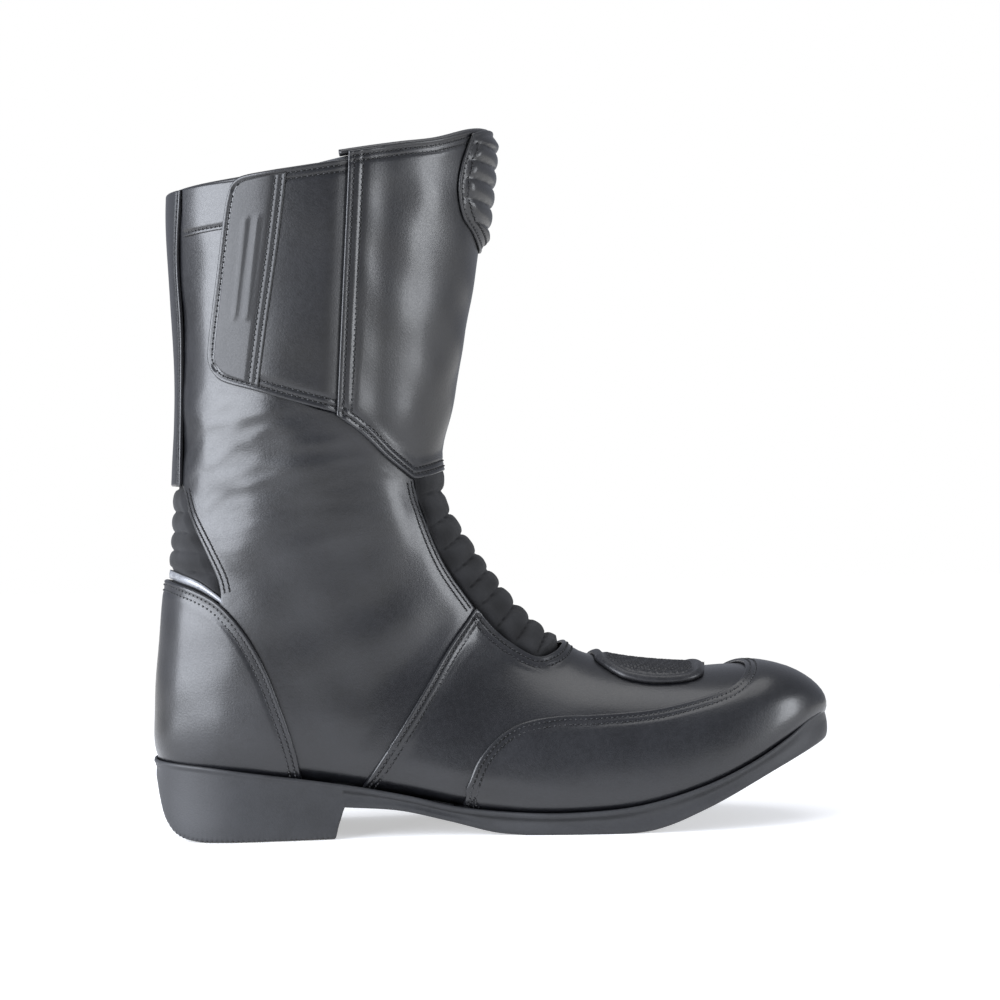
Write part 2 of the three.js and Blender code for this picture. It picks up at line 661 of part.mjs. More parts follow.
const loopInner = layerGap;
const hookInner = loopInner + hookStrip + layerGap;
const flapInner = hookInner + hookStrip + layerGap;
const flapOuter = flapInner + flapThickness;
function gripStrip(inner, outer, trim) {
  const outline = line([-113 + trim, 282], [-94 - trim, 284], [-99 - trim, 204], [-119 + trim, 208]);
  return panel(inner, outer, outline, medialHalf);
}
const flapOutline = () => [
  ...shift(hingeLine, -layerGap, 0),
  ...curve([[-88, 191], [-105, 196.3], [-118.5, 200.8], [-123.8, 206.5], [-124.2, 215], [-120.2, 247.8],
    [-116.6, 275], [-114.5, 284], [-110, 288.3], [-86.3, 292], [-64.7, 295.5]], 18).slice(0, -1),
];
const flap = () => panel(flapInner, flapOuter, flapOutline(), medialHalf);
function flapPatch() {
  const outline = line([-91.5, 289.5], [-92.8, 277], [-96.2, 251.9], [-100.1, 226.2], [-104.4, 199.5],
    [-116, 204], [-120.5, 208.5], [-121, 214], [-117.4, 246.6], [-113.8, 274], [-111, 284], [-108, 286.4]);
  return panel(flapOuter + layerGap, flapOuter + layerGap + flapFacing, outline, medialHalf);
}

// ---- Materials ----
const finish = (color, roughness, metalness = 0) =>
  new THREE.MeshStandardMaterial({ color, roughness, metalness });
const blackLeather = finish(0x1b1c1e, 0.42);
const insideLeather = finish(0x242528, 0.6);
const soleRubber = finish(0x47494b, 0.8);
const padRubber = finish(0x1e1f21, 0.65);
const bellowsFabric = finish(0x2b2d30, 0.85);
const reflective = finish(0xb9bcc0, 0.35);
const liningMesh = finish(0x34373b, 0.95);
const board = finish(0x9a8a70, 0.9);
const steel = finish(0x9fa2a6, 0.35, 1);
const darkMetal = finish(0x3a3b3d, 0.4, 1);
const plastic = finish(0x2a2b2c, 0.5);
const webbing = finish(0x161718, 0.95);

// ---- The assembly ----
const boot = new THREE.Group();
const foot = new THREE.Group();
const leg = new THREE.Group();
const flapGroup = new THREE.Group();
const sliderGroup = new THREE.Group();
boot.add(foot, leg);
leg.add(flapGroup, sliderGroup);

function add(group, name, solid, material) {
  const mesh = new THREE.Mesh(geometryOf(solid), material);
  mesh.name = name;
  group.add(mesh);
}

add(foot, "outsole", outsole(), soleRubber);
add(foot, "insole_board", insoleBoard(), board);
add(foot, "shank", shankSolid(0), steel);
add(foot, "footbed", footbed(), liningMesh);
add(foot, "vamp", vamp(), blackLeather);
add(foot, "toe_cap", toeCap(), blackLeather);
add(foot, "toe_puff", toePuff(), plastic);
add(foot, "shift_pad", shiftPad(), padRubber);
add(foot, "heel_counter", heelCounter(), blackLeather);
add(foot, "heel_stiffener", heelStiffener(), plastic);
add(foot, "reflective_strip", reflectiveStrip(), reflective);
add(foot, "ankle_cup_medial", ankleCup(medialHalf), plastic);
add(foot, "ankle_cup_lateral", ankleCup(lateralHalf), plastic);
add(foot, "instep_bellows", instepBellows(), bellowsFabric);
add(foot, "rear_bellows", rearBellows(), bellowsFabric);
add(leg, "quarter_medial", medialQuarter(), blackLeather);
add(leg, "quarter_lateral", lateralQuarter(), blackLeather);
add(leg, "shaft_front", shaftFront(), blackLeather);
add(leg, "lining", bootLining(), liningMesh);
add(leg, "back_strip", backStrip(), blackLeather);
add(leg, "collar_facing_medial", collarFacing(medialHalf), blackLeather);
add(leg, "collar_facing_lateral", collarFacing(lateralHalf), blackLeather);
add(leg, "shin_pad", shinPad(), padRubber);
add(leg, "shin_plate", shinPlate(), plastic);
add(leg, "zip_tape_front", zipTape(1), webbing);
add(leg, "zip_tape_rear", zipTape(-1), webbing);
add(leg, "zip_chain", zipChain(), darkMetal);
add(leg, "zip_top_stop", zipTopStop(), darkMetal);
add(leg, "zip_bottom_stop", zipBottomStop(), darkMetal);
add(leg, "loop_strip", gripStrip(loopInner, loopInner + hookStrip, 0), webbing);
add(flapGroup, "hook_strip", gripStrip(hookInner, hookInner + hookStrip, 1), webbing);
add(flapGroup, "flap", flap(), blackLeather);
add(flapGroup, "flap_patch", flapPatch(), insideLeather);
add(sliderGroup, "zip_slider", zipSlider(), darkMetal);
add(sliderGroup, "zip_pull", zipPull(), darkMetal);

export default boot;
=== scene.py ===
# %% [markdown]
# # A left riding boot in black leather
#
# The boot is made of cut leather panels sewn in layers over one smooth shape, the last. The scene keeps
# that idea: one function gives the last's surface, and every panel is a patch of it, raised to its own
# layer and given a thickness. All sizes are in millimetres until a mesh is made, and metres after that.

# %% The frame and its box
import json
import math
import bmesh
import bpy
import numpy as np
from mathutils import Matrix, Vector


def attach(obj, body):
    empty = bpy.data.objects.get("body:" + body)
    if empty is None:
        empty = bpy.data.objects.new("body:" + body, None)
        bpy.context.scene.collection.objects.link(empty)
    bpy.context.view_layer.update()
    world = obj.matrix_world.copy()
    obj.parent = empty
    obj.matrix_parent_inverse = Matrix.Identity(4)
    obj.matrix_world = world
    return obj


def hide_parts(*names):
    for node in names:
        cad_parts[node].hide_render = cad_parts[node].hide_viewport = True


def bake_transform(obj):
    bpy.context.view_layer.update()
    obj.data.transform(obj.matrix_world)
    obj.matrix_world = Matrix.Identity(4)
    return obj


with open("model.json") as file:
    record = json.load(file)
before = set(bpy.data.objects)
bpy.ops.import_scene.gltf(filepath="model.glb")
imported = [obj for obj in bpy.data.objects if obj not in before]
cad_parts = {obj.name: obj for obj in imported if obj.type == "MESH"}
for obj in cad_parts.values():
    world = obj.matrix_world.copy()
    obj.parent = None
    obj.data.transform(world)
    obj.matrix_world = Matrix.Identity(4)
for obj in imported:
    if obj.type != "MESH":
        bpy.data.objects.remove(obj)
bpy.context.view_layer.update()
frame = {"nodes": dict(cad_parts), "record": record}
MM = 0.001

# %% [markdown]
# ## The last surface
#
# A real last is a block of wood or plastic that the upper is pulled over. It could be sculpted or
# subdivided from a cage. Here it is a list of stations: closed curves in planes that fan from the level
# top opening, round the heel and instep, to the upright planes of the toe. Any point of the surface is
# then two numbers, the station and the turn around it, which is what the patches below need.

# %% The stations
SHAFT, ANKLE, HEEL, BALL = 54.5, 44, 40, 50
SIDEWAYS = 1.7  # puts the box's middle on the XZ plane


def between(a, b, share):
    return a + (b - a) * share


# front x, z; back x, z; half width; middle in y; widest place; squareness of front and back
STATIONS = np.array([
    [3, 325, -141.5, 301, SHAFT + 0.8, 0, 0.5, 2, 2.1],
    [0, 290, -142.8, 274, SHAFT - 0.5, 0, 0.5, 2, 2.1],
    [-5.6, 250, -141.4, 240, between(SHAFT, ANKLE, 0.3), 0, 0.5, 2, 2.1],
    [-11.4, 218, -140.1, 207, between(SHAFT, ANKLE, 0.52), 0, 0.5, 2, 2.1],
    [-17, 190, -140.6, 184, between(SHAFT, ANKLE, 0.7), 0, 0.5, 2, 2.1],
    [-22.3, 167, -141.8, 165, between(SHAFT, ANKLE, 0.86), 0, 0.5, 2, 2.1],
    [-22.6, 150, -142.8, 148, between(SHAFT, ANKLE, 0.98), 0, 0.5, 2, 2.1],
    [-18.4, 140, -144.2, 128, between(ANKLE, HEEL, 0.35), 0, 0.5, 2, 2.2],
    [-12.2, 130, -147, 105, between(ANKLE, HEEL, 0.75), 0, 0.51, 1.95, 2.25],
    [-5.6, 120, -149.4, 80, HEEL, 0, 0.53, 1.9, 2.3],
    [1, 111, -151, 57, HEEL, 0.3, 0.55, 1.85, 2.35],
    [7, 103, -150.6, 38, HEEL, 0.6, 0.58, 1.8, 2.4],
    [12, 97.5, -142.5, 26, HEEL, 1, 0.61, 1.8, 2.5],
    [18, 91.6, -118, 23.5, HEEL, 1.5, 0.64, 1.8, 2.8],
    [24, 86.6, -85, 21, HEEL, 2, 0.67, 1.8, 3],
    [31, 82, -50, 16.5, between(HEEL, BALL, 0.2), 2.6, 0.69, 1.85, 3.2],
    [39, 78.2, -15, 10.8, between(HEEL, BALL, 0.6), 3, 0.71, 1.9, 3.4],
    [48, 75.2, 20, 6.5, between(HEEL, BALL, 0.92), 3, 0.72, 2, 3.6],
    [60, 72.6, 50, 6.8, BALL, 2.5, 0.72, 2.1, 3.8],
    [75, 70.6, 75, 11, BALL - 1, 1.4, 0.72, 2.2, 3.8],
    [92, 69.4, 95, 18, BALL - 3, 0, 0.71, 2.3, 3.6],
    [108, 70, 111, 26, BALL - 7.4, -1.6, 0.69, 2.4, 3.4],
    [121.5, 70.2, 124.5, 33.5, BALL - 13.4, -3.2, 0.66, 2.4, 3],
    [133, 67.6, 135, 39.6, BALL - 21, -4.8, 0.62, 2.3, 2.6],
    [142, 63, 142.8, 44, BALL - 29.6, -6.2, 0.57, 2.2, 2.3],
    [147.8, 57.6, 148, 47.6, BALL - 38.4, -7.2, 0.53, 2.1, 2.1],
    [150.1, 52.2, 150.1, 52, 0, -8, 0.5, 2, 2],
])
TOE = len(STATIONS) - 1


def station_at(s):
    """The station curve's nine values at any s, on a Catmull-Rom spline through the rows."""
    s = np.clip(s, 0, TOE)
    i = np.clip(np.floor(s).astype(int), 0, TOE - 1)
    t = (s - i)[..., None]
    a, b = STATIONS[np.maximum(i - 1, 0)], STATIONS[i]
    c, d = STATIONS[i + 1], STATIONS[np.minimum(i + 2, TOE)]
    return b + ((c - a) * t + (2 * a - 5 * b + 4 * c - d) * t**2 + (3 * b - a - 3 * c + d) * t**3) / 2


def last_point(s, turn):
    """Each half of a station is a superellipse: with c and d the cosine and sine of the turn and n the
    half's squareness, the point is |c|^(2/n) of the way from the widest place to its end, and
    |d|^(2/n) of the half width off the middle."""
    fx, fz, bx, bz, half, middle, widest, front, back = np.moveaxis(station_at(s), -1, 0)
    c, d = np.cos(2 * np.pi * turn), np.sin(2 * np.pi * turn)
    power = 2 / np.where(c >= 0, front, back)
    reach = np.abs(c) ** power
    along = np.where(c >= 0, widest * (1 - reach), widest + (1 - widest) * reach)
    y = middle + SIDEWAYS - np.maximum(half, 0) * np.sign(d) * np.abs(d) ** power
    return np.stack([fx + (bx - fx) * along, y, fz + (bz - fz) * along], -1)


def unit(v):
    return v / np.maximum(np.linalg.norm(v, axis=-1, keepdims=True), 1e-9)


def last_normal(s, turn):
    """The outward direction: the cross product of the surface's two slopes, by central differences."""
    s, turn = np.broadcast_arrays(np.asarray(s, float), np.asarray(turn, float))
    down = last_point(np.minimum(s + 0.2, TOE), turn) - last_point(np.maximum(s - 0.2, 0), turn)
    around = last_point(s, turn + 0.012) - last_point(s, turn - 0.012)
    n = unit(np.cross(around, down))
    near_tip = np.clip((s - (TOE - 0.3)) / 0.3, 0, 1)[..., None]
    return unit(n * (1 - near_tip) + np.array([1.0, 0, 0]) * near_tip)


def raised(s, turn, offset):
    """A point of the last, moved out along its normal by an offset."""
    return last_point(s, turn) + last_normal(s, turn) * np.asarray(offset)[..., None]


def place_of(spots):
    """The inverse on the medial side: for spots (x, z) of the side view, the station whose front-to-back
    line passes through the spot, found by halving, and the turn that reaches the spot's share of it."""
    x, z = np.asarray(spots, float).T
    low, high = np.zeros(len(x)), np.full(len(x), float(TOE))
    for _ in range(40):
        middle = (low + high) / 2
        fx, fz, bx, bz = np.moveaxis(station_at(middle), -1, 0)[:4]
        before = (bx - fx) * (z - fz) - (bz - fz) * (x - fx) > 0
        low, high = np.where(before, middle, low), np.where(before, high, middle)
    fx, fz, bx, bz, _, _, widest, front, back = np.moveaxis(station_at(low), -1, 0)
    along = ((x - fx) * (bx - fx) + (z - fz) * (bz - fz)) / ((bx - fx) ** 2 + (bz - fz) ** 2)
    forward = along < widest
    reach = np.where(forward, (widest - along) / widest, (along - widest) / (1 - widest))
    angle = np.arccos(np.clip(reach, 0, 1) ** (np.where(forward, front, back) / 2))
    return np.stack([low, np.where(forward, angle, np.pi - angle) / (2 * np.pi)], -1)


# %% [markdown]
# ## Patterns and patches
#
# A pattern cutter draws each piece flat. Here each piece is drawn as it looks from the side, as a few
# points that a smooth curve passes through. Four such curves bound a patch. The patch is filled in by
# Coons' rule, so that its grid lines follow its edges, and seams, rims and stitches can follow them too.

# %% Curves and patches
def smooth(points, steps=80):
    """A Catmull-Rom curve through points, at equal steps of its own length."""
    p = np.asarray(points, float)
    p = np.concatenate([[2 * p[0] - p[1]], p, [2 * p[-1] - p[-2]]])
    u = np.linspace(0, len(p) - 3 - 1e-9, 600)
    i = u.astype(int)
    t = (u - i)[:, None]
    a, b, c, d = p[i], p[i + 1], p[i + 2], p[i + 3]
    q = b + ((c - a) * t + (2 * a - 5 * b + 4 * c - d) * t**2 + (3 * b - a - 3 * c + d) * t**3) / 2
    return even(q, np.linspace(0, 1, steps))


def even(points, shares):
    """Points at the given shares of a line's length."""
    p = np.asarray(points, float)
    run = np.concatenate([[0], np.cumsum(np.linalg.norm(np.diff(p, axis=0), axis=1))])
    return np.stack([np.interp(shares * run[-1], run, p[:, k]) for k in range(p.shape[1])], -1)


def seam(points, steps=80):
    """A seam on the medial side, from its points in the side view, as stations and turns."""
    return place_of(smooth(points, steps))


def other(line_, back=False):
    """The same line on the lateral side. Across the front the turn passes 0, across the back 0.5."""
    return np.stack([line_[:, 0], (1 if back else 0) - line_[:, 1]], -1)


def mirrored(patch):
    """The patch's own lines turned to the lateral side, where a turn of t becomes 1 - t."""
    for line_ in patch.lines:
        line_[:, 1] = 1 - line_[:, 1]
    return patch


def across(line_, back=False):
    """A line from the medial side over the front or the back to the lateral side."""
    return np.concatenate([line_, other(line_, back)[::-1][1:]])


def straight(a, b, steps=40):
    return np.linspace(a, b, steps)


class Patch:
    """Four lines on the last and the surface between them. u runs along low and high, v from low to high.
    The inside is low and high blended by v, plus left and right blended by u, less the corners' blend."""

    def __init__(self, low, high, left=None, right=None, round_toe=False):
        left = straight(low[0], high[0]) if left is None else left
        right = straight(low[-1], high[-1]) if right is None else right
        self.round_toe = round_toe
        self.lines = [self.to_plane(line_) for line_ in (low, high, left, right)]
        self.spans = [self.spaced(line_) for line_ in self.lines]

    def to_plane(self, line_):
        if not self.round_toe:
            return np.array(line_, float)
        reach, angle = TOE - line_[:, 0], 2 * np.pi * line_[:, 1]
        return np.stack([reach * np.cos(angle), reach * np.sin(angle)], -1)

    def from_plane(self, p):
        if not self.round_toe:
            return p[..., 0], p[..., 1]
        return TOE - np.hypot(p[..., 0], p[..., 1]), np.arctan2(p[..., 1], p[..., 0]) / (2 * np.pi)

    def spaced(self, line_):
        run = np.linalg.norm(np.diff(last_point(*self.from_plane(line_)), axis=0), axis=1)
        run = np.concatenate([[0], np.cumsum(run)])
        return run / run[-1], run[-1]

    def on(self, k, share):
        run, line_ = self.spans[k][0], self.lines[k]
        return np.stack([np.interp(share, run, line_[:, i]) for i in range(2)], -1)

    def place(self, u, v):
        """Station and turn at (u, v)."""
        u, v = np.broadcast_arrays(np.asarray(u, float), np.asarray(v, float))
        low, high, left, right = self.on(0, u), self.on(1, u), self.on(2, v), self.on(3, v)
        a, b = self.lines[0][0], self.lines[0][-1]
        c, d = self.lines[1][0], self.lines[1][-1]
        u, v = u[..., None], v[..., None]
        corners = (1 - u) * (1 - v) * a + u * (1 - v) * b + (1 - u) * v * c + u * v * d
        return self.from_plane((1 - v) * low + v * high + (1 - u) * left + u * right - corners)

    def lengths(self):
        """Mean lengths in millimetres along u and v."""
        along = (self.spans[0][1] + self.spans[1][1]) / 2
        mid = last_point(*self.place(0.5, np.linspace(0, 1, 60)))
        middle = np.linalg.norm(np.diff(mid, axis=0), axis=1).sum()
        return along, (self.spans[2][1] + self.spans[3][1] + 2 * middle) / 4


NEAR_THE_RIM = [0, 0.12, 0.35, 0.8, 1.4, 2, 2.6, 3.2, 3.8, 4.4, 5, 5.6, 6.4, 7.4]


def spread(length, step, fine=True):
    """Shares from 0 to 1, closer together within 7 mm of both ends, where the rim and stitch rows lie."""
    near = np.array(NEAR_THE_RIM) if fine else np.zeros(1)
    near = near[near < length * 0.4]
    inside = np.linspace(near[-1], length - near[-1], max(int((length - 2 * near[-1]) / step), 2) + 1)
    return np.concatenate([near[:-1], inside, length - near[:-1][::-1]]) / length


# %% Meshes from arrays
def mesh_piece(name, points, faces, merge=False):
    """A smooth-shaded object at the origin, from points in millimetres and an array of equal faces."""
    points, faces = np.asarray(points, float).reshape(-1, 3) * MM, np.asarray(faces, np.int32)
    mesh = bpy.data.meshes.new(name)
    mesh.vertices.add(len(points))
    mesh.vertices.foreach_set("co", points.astype(np.float32).ravel())
    mesh.loops.add(faces.size)
    mesh.loops.foreach_set("vertex_index", faces.ravel())
    mesh.polygons.add(len(faces))
    mesh.polygons.foreach_set("loop_start", np.arange(0, faces.size, faces.shape[1], dtype=np.int32))
    mesh.polygons.foreach_set("use_smooth", np.ones(len(faces), bool))
    mesh.update(calc_edges=True)
    if merge:
        work = bmesh.new()
        work.from_mesh(mesh)
        bmesh.ops.remove_doubles(work, verts=work.verts, dist=1e-6)
        bmesh.ops.dissolve_degenerate(work, dist=1e-7, edges=work.edges)
        work.to_mesh(mesh)
        work.free()
    mesh.validate()
    piece = bpy.data.objects.new(name, mesh)
    bpy.context.scene.collection.objects.link(piece)
    return piece


def grid_faces(rows, columns, first=0, flip=False, around=False):
    """The quads of a grid of points numbered row by row. around joins the last column to the first."""
    i, j = np.meshgrid(np.arange(rows - 1), np.arange(columns if around else columns - 1), indexing="ij")
    k = (j + 1) % columns
    quads = np.stack([i * columns + j, (i + 1) * columns + j, (i + 1) * columns + k, i * columns + k], -1)
    quads = quads.reshape(-1, 4) + first
    return quads[:, ::-1] if flip else quads


def thick_faces(rows, columns):
    """The quads of two equal grids, outer then inner, and of the rim that joins them."""
    count = rows * columns
    outer = grid_faces(rows, columns)
    inner = grid_faces(rows, columns, count, flip=True)
    index = np.arange(count).reshape(rows, columns)
    loop = np.concatenate([index[0, :-1], index[:-1, -1], index[-1, :0:-1], index[:0:-1, 0]])
    after = np.roll(loop, -1)
    rim = np.stack([loop, after, after + count, loop + count], -1)
    return np.concatenate([outer, inner, rim])


def outwards(piece):
    """Turns the faces outwards if the closed mesh's volume comes out negative."""
    work = bmesh.new()
    work.from_mesh(piece.data)
    if work.calc_volume(signed=True) < 0:
        bmesh.ops.reverse_faces(work, faces=work.faces)
        work.to_mesh(piece.data)
    work.free()
    return piece


def face_out(piece):
    """Makes all faces of closed bodies point outwards, each body for itself."""
    work = bmesh.new()
    work.from_mesh(piece.data)
    bmesh.ops.recalc_face_normals(work, faces=work.faces)
    work.to_mesh(piece.data)
    work.free()


# %% Distances and lines beside lines
def flat_line(points, step=0.5):
    """The same line with a point at every half millimetre of its length."""
    length = np.linalg.norm(np.diff(points, axis=0), axis=1).sum()
    return even(points, np.linspace(0, 1, max(int(length / step), 2) + 1))


def distance(points, line_):
    """Distance from each point to a line: to the nearest of the line's points first, and then to the two
    stretches that meet there, where the foot of the perpendicular is found."""
    points, line_ = np.asarray(points).reshape(-1, 3), flat_line(line_)
    best = np.empty(len(points), int)
    for first in range(0, len(points), 8000):
        part = points[first:first + 8000]
        best[first:first + 8000] = ((line_**2).sum(1) - 2 * part @ line_.T).argmin(1)
    found = np.full(len(points), 1e9)
    for i in (np.maximum(best - 1, 0), np.minimum(best, len(line_) - 2)):
        a, ab = line_[i], line_[i + 1] - line_[i]
        t = np.clip(((points - a) * ab).sum(1) / np.maximum((ab**2).sum(1), 1e-12), 0, 1)
        found = np.minimum(found, np.linalg.norm(points - a - ab * t[:, None], axis=1))
    return found


def beside(line_, inwards, gap):
    """A line moved over the surface by a gap, square to itself. The step in station and turn solves
    step_s * slope_s + step_turn * slope_turn = gap * direction, and is then scaled to the true gap."""
    s, turn = line_[:, 0], line_[:, 1]
    p, n = last_point(s, turn), last_normal(s, turn)
    side = unit(np.cross(n, np.gradient(p, axis=0)))
    side = side * np.sign((side * inwards).sum() + 1e-12)
    a = (last_point(np.minimum(s + 0.05, TOE), turn) - last_point(np.maximum(s - 0.05, 0), turn)) / 0.1
    b = (last_point(s, turn + 0.003) - last_point(s, turn - 0.003)) / 0.006
    aa, ab, bb = (a * a).sum(1), (a * b).sum(1), (b * b).sum(1)
    av, bv = (a * side).sum(1) * gap, (b * side).sum(1) * gap
    det = np.maximum(aa * bb - ab * ab, 1e-9)
    ds, dt = (av * bb - bv * ab) / det, (bv * aa - av * ab) / det
    reached = np.linalg.norm(last_point(np.clip(s + ds, 0, TOE), turn + dt) - p, axis=1)
    scale = np.clip(gap / np.maximum(reached, 0.1), 0.5, 2)
    return np.stack([np.clip(s + ds * scale, 0, TOE), turn + dt * scale], -1)


def bumps(p, size, seed, stretch=(1, 1, 1)):
    """Smooth noise from -1 to 1: twelve plane waves of random direction and phase, about a size apart."""
    draw = np.random.default_rng(seed)
    way = unit(draw.normal(size=(12, 3))) * draw.uniform(0.6, 1.6, (12, 1)) * 2 * np.pi / size
    return np.sin((p / np.array(stretch)) @ way.T + draw.uniform(0, 2 * np.pi, 12)).mean(-1) * 1.6


def rise_over(distance_, width):
    """1 at a line, falling smoothly to 0 at a width from it."""
    t = np.clip(1 - distance_ / width, 0, 1)
    return t * t * (3 - 2 * t)


# %% Panels
UNDER_LAYER = (-1.8, 0)  # inner and outer offset of the panels that lie under others
OVER_LAYER = (0.3, 2.1)  # the overlays on top
GROOVE, GROOVE_WIDTH = 0.5, 0.95  # how deep a stitch row sinks, and how wide


class Panel:
    """A thick piece of leather on a patch, from an inner offset to an outer one. rows gives, for each edge,
    how far in its stitch rows lie. laps are (edge, height, width): there the panel climbs over the one
    under it. relief is a function of the surface points that adds to the outer face."""

    def __init__(self, patch, inner, outer, rows=None, laps=(), relief=None, step=2.2, rounding=0.8,
                 waves=0.3, seed=1, fine=True):
        self.patch, self.inner, self.outer = patch, inner, outer
        self.rows, self.relief, self.step, self.rounding = rows or {}, relief, step, rounding
        self.waves, self.seed, self.fine = waves, seed, fine
        self.long, self.tall = patch.lengths()
        self.edges = {name: self.edge(name) for name in ("low", "high", "left", "right")}
        self.rim = [last_point(*line_.T) for line_, _ in self.edges.values()]
        self.laps = [(last_point(*self.edges[name][0].T), height, width) for name, height, width in laps]
        self.seams = {name: [beside(*self.edges[name], gap) for gap in gaps]
                      for name, gaps in self.rows.items()}

    def edge(self, name):
        """The edge's line as stations and turns, and the direction inwards from each of its points."""
        length = self.long if name in ("low", "high") else self.tall
        t = np.linspace(0, 1, max(int(length / 1.2), 12))
        flat, at = name in ("low", "high"), float(name in ("high", "right"))
        inside = at + (0.04 if at == 0 else -0.04)
        here, there = [self.patch.place(*((t, t * 0 + k) if flat else (t * 0 + k, t))) for k in (at, inside)]
        return np.stack(here, -1), last_point(*there) - last_point(*here)

    def heights(self, p):
        """Inner and outer offsets at surface points. The outer face rolls down at the rim by a quarter
        circle, dips by a bell curve along each stitch row, and has soft waves in between."""
        p = p.reshape(-1, 3)
        rim = np.minimum.reduce([distance(p, line_) for line_ in self.rim])
        lift = np.zeros(len(p))
        for line_, height, width in self.laps:
            lift = np.maximum(lift, height * rise_over(distance(p, line_), width))
        near = np.clip(rim / self.rounding, 0, 1)
        top = self.outer - self.rounding * (1 - np.sqrt(np.maximum(1 - (1 - near) ** 2, 0)))
        top = top + self.waves * bumps(p, 34, self.seed) * np.clip((rim - 4) / 8, 0, 1)
        for lines in self.seams.values():
            for line_ in lines:
                away = distance(p, last_point(*line_.T))
                top = top - GROOVE * np.exp(-((away / GROOVE_WIDTH) ** 2))
        if self.relief:
            top = top + self.relief(p, rim)
        return self.inner + lift, top + lift

    def build(self, name):
        u, v = np.meshgrid(spread(self.long, self.step, self.fine), spread(self.tall, self.step, self.fine),
                           indexing="ij")
        s, turn = self.patch.place(u, v)
        base, normal = last_point(s, turn), last_normal(s, turn)
        inner, outer = self.heights(base)
        points = np.concatenate([base.reshape(-1, 3) + normal.reshape(-1, 3) * outer[:, None],
                                 base.reshape(-1, 3) + normal.reshape(-1, 3) * inner[:, None]])
        self.piece = outwards(mesh_piece(name, points, thick_faces(*u.shape)))
        print(name, "%.0f x %.0f mm," % (self.long, self.tall), len(points), "points")
        return self.piece

    def sew(self, body, ends=1.5):
        """Stitches along every row."""
        for lines in self.seams.values():
            for line_ in lines:
                base, normal = last_point(*line_.T), last_normal(*line_.T)
                stitch_row(body, base + normal * self.heights(base)[1][:, None], normal, ends)
        return self


# %% [markdown]
# ## Stitches
#
# The seams are sewn with thick thread. A bump map could hint at it, but the thread catches the light, so
# each stitch is a small mesh of its own: a six-sided tube that rises from one needle hole and dives into
# the next. All the stitches of one body are one piece.

# %% Stitches
STITCH, THREAD = 2.3, 0.4  # pitch and thread radius
# The second dict holds, for each body, the dark lenses that paint the shade inside the needle holes.
sewing, shade_lens_rows = {}, {}


def stitch_row(body, points, normals, ends=1.5):
    """Stitches along a line of surface points. A stitch's centre line is an arch: its height above the
    surface is the radius times 1.5 sin(pi w) - 0.8 for w from 0 to 1 along it."""
    run = np.concatenate([[0], np.cumsum(np.linalg.norm(np.diff(points, axis=0), axis=1))])
    length = run[-1] - 2 * ends
    count = max(int(length / STITCH), 1)
    w = np.linspace(0, 1, 5)
    at = ends + ((np.arange(count) + 0.2)[:, None] + w * 0.6) * length / count
    p = np.stack([np.interp(at, run, points[:, k]) for k in range(3)], -1)
    n = unit(np.stack([np.interp(at, run, normals[:, k]) for k in range(3)], -1))
    side = unit(np.cross(n[:, :1], unit(p[:, -1:] - p[:, :1])))
    centre = p + n * (THREAD * (1.5 * np.sin(np.pi * w) - 0.8))[None, :, None]
    angle = np.arange(6) * np.pi / 3
    thick = THREAD * np.array([0.55, 0.95, 1.05, 0.95, 0.55])
    ring = side[:, :, None] * np.cos(angle)[:, None] + n[:, :, None] * np.sin(angle)[:, None]
    tube = centre[:, :, None] + ring * thick[None, :, None, None]
    sewing.setdefault(body, []).append(tube.reshape(count, -1, 3))
    # Before each stitch, a dark lens lies just proud of the leather: painted shade where the needle hole
    # sinks in.
    along, aside, up = unit(p[:, -1] - p[:, 0])[:, None], side, n[:, :1]
    hole = p[:, :1] - along * STITCH * 0.2
    turn = (np.arange(6) * np.pi / 3)[None, :, None]
    rim = hole + along * 0.85 * np.cos(turn) + (aside * 0.6 + along * 0.3) * np.sin(turn)
    shade_lens_rows.setdefault(body, []).append(np.concatenate([rim, hole + up * 0.12, hole - up * 0.4], 1))


def finish_sewing():
    """One mesh for each body's stitches: five rings of six points a stitch, closed by flat ends. Between
    them, at each needle hole, lies a near-black lens of twelve faces, just proud of the leather: painted
    shade for the inside of the hole."""
    quads = grid_faces(5, 6, around=True)
    ends = np.array([[0, 1, 2, 3], [0, 3, 4, 5], [27, 26, 25, 24], [29, 28, 27, 24]])
    k = np.arange(6)
    after = (k + 1) % 6
    lens = np.concatenate([np.stack([k * 0 + 6, k, after], -1), np.stack([k * 0 + 7, after, k], -1)])
    made = []
    for body, parts in sewing.items():
        points = np.concatenate(parts)
        start = (np.arange(len(points)) * 30)[:, None, None]
        faces = (np.concatenate([quads, ends])[None] + start).reshape(-1, 4)
        made.append((body, outwards(mesh_piece("stitching_" + body, points, faces)), thread))
        shade_lens_points = np.concatenate(shade_lens_rows[body])
        faces = (lens[None] + (np.arange(len(shade_lens_points)) * 8)[:, None, None]).reshape(-1, 3)
        made.append((body, outwards(mesh_piece("needle_hole_shade_" + body, shade_lens_points, faces)), painted_hole_shade))
        print("stitches on", body, len(points))
    return made


# %% [markdown]
# ## Finishes
#
# Every finish is worked out by nodes from the place on the object, so it has no seams or image files. A
# small class lets node sums be written as plain sums. Base colour, roughness and bump vary over the
# surface. What is the same everywhere, such as a sheen, is set on the shader itself.

# %% Shader sums
class Wire:
    """A socket in a formula: each operator adds a Math node and gives that node's result."""

    def __init__(self, finish, socket):
        self.finish, self.socket = finish, socket

    def math(self, operation, a, b=0.0):
        return self.finish.node("ShaderNodeMath", {"operation": operation}, {0: a, 1: b})

    def __add__(self, other_):
        return self.math("ADD", self, other_)

    def __mul__(self, other_):
        return self.math("MULTIPLY", self, other_)



FINISHES = {}


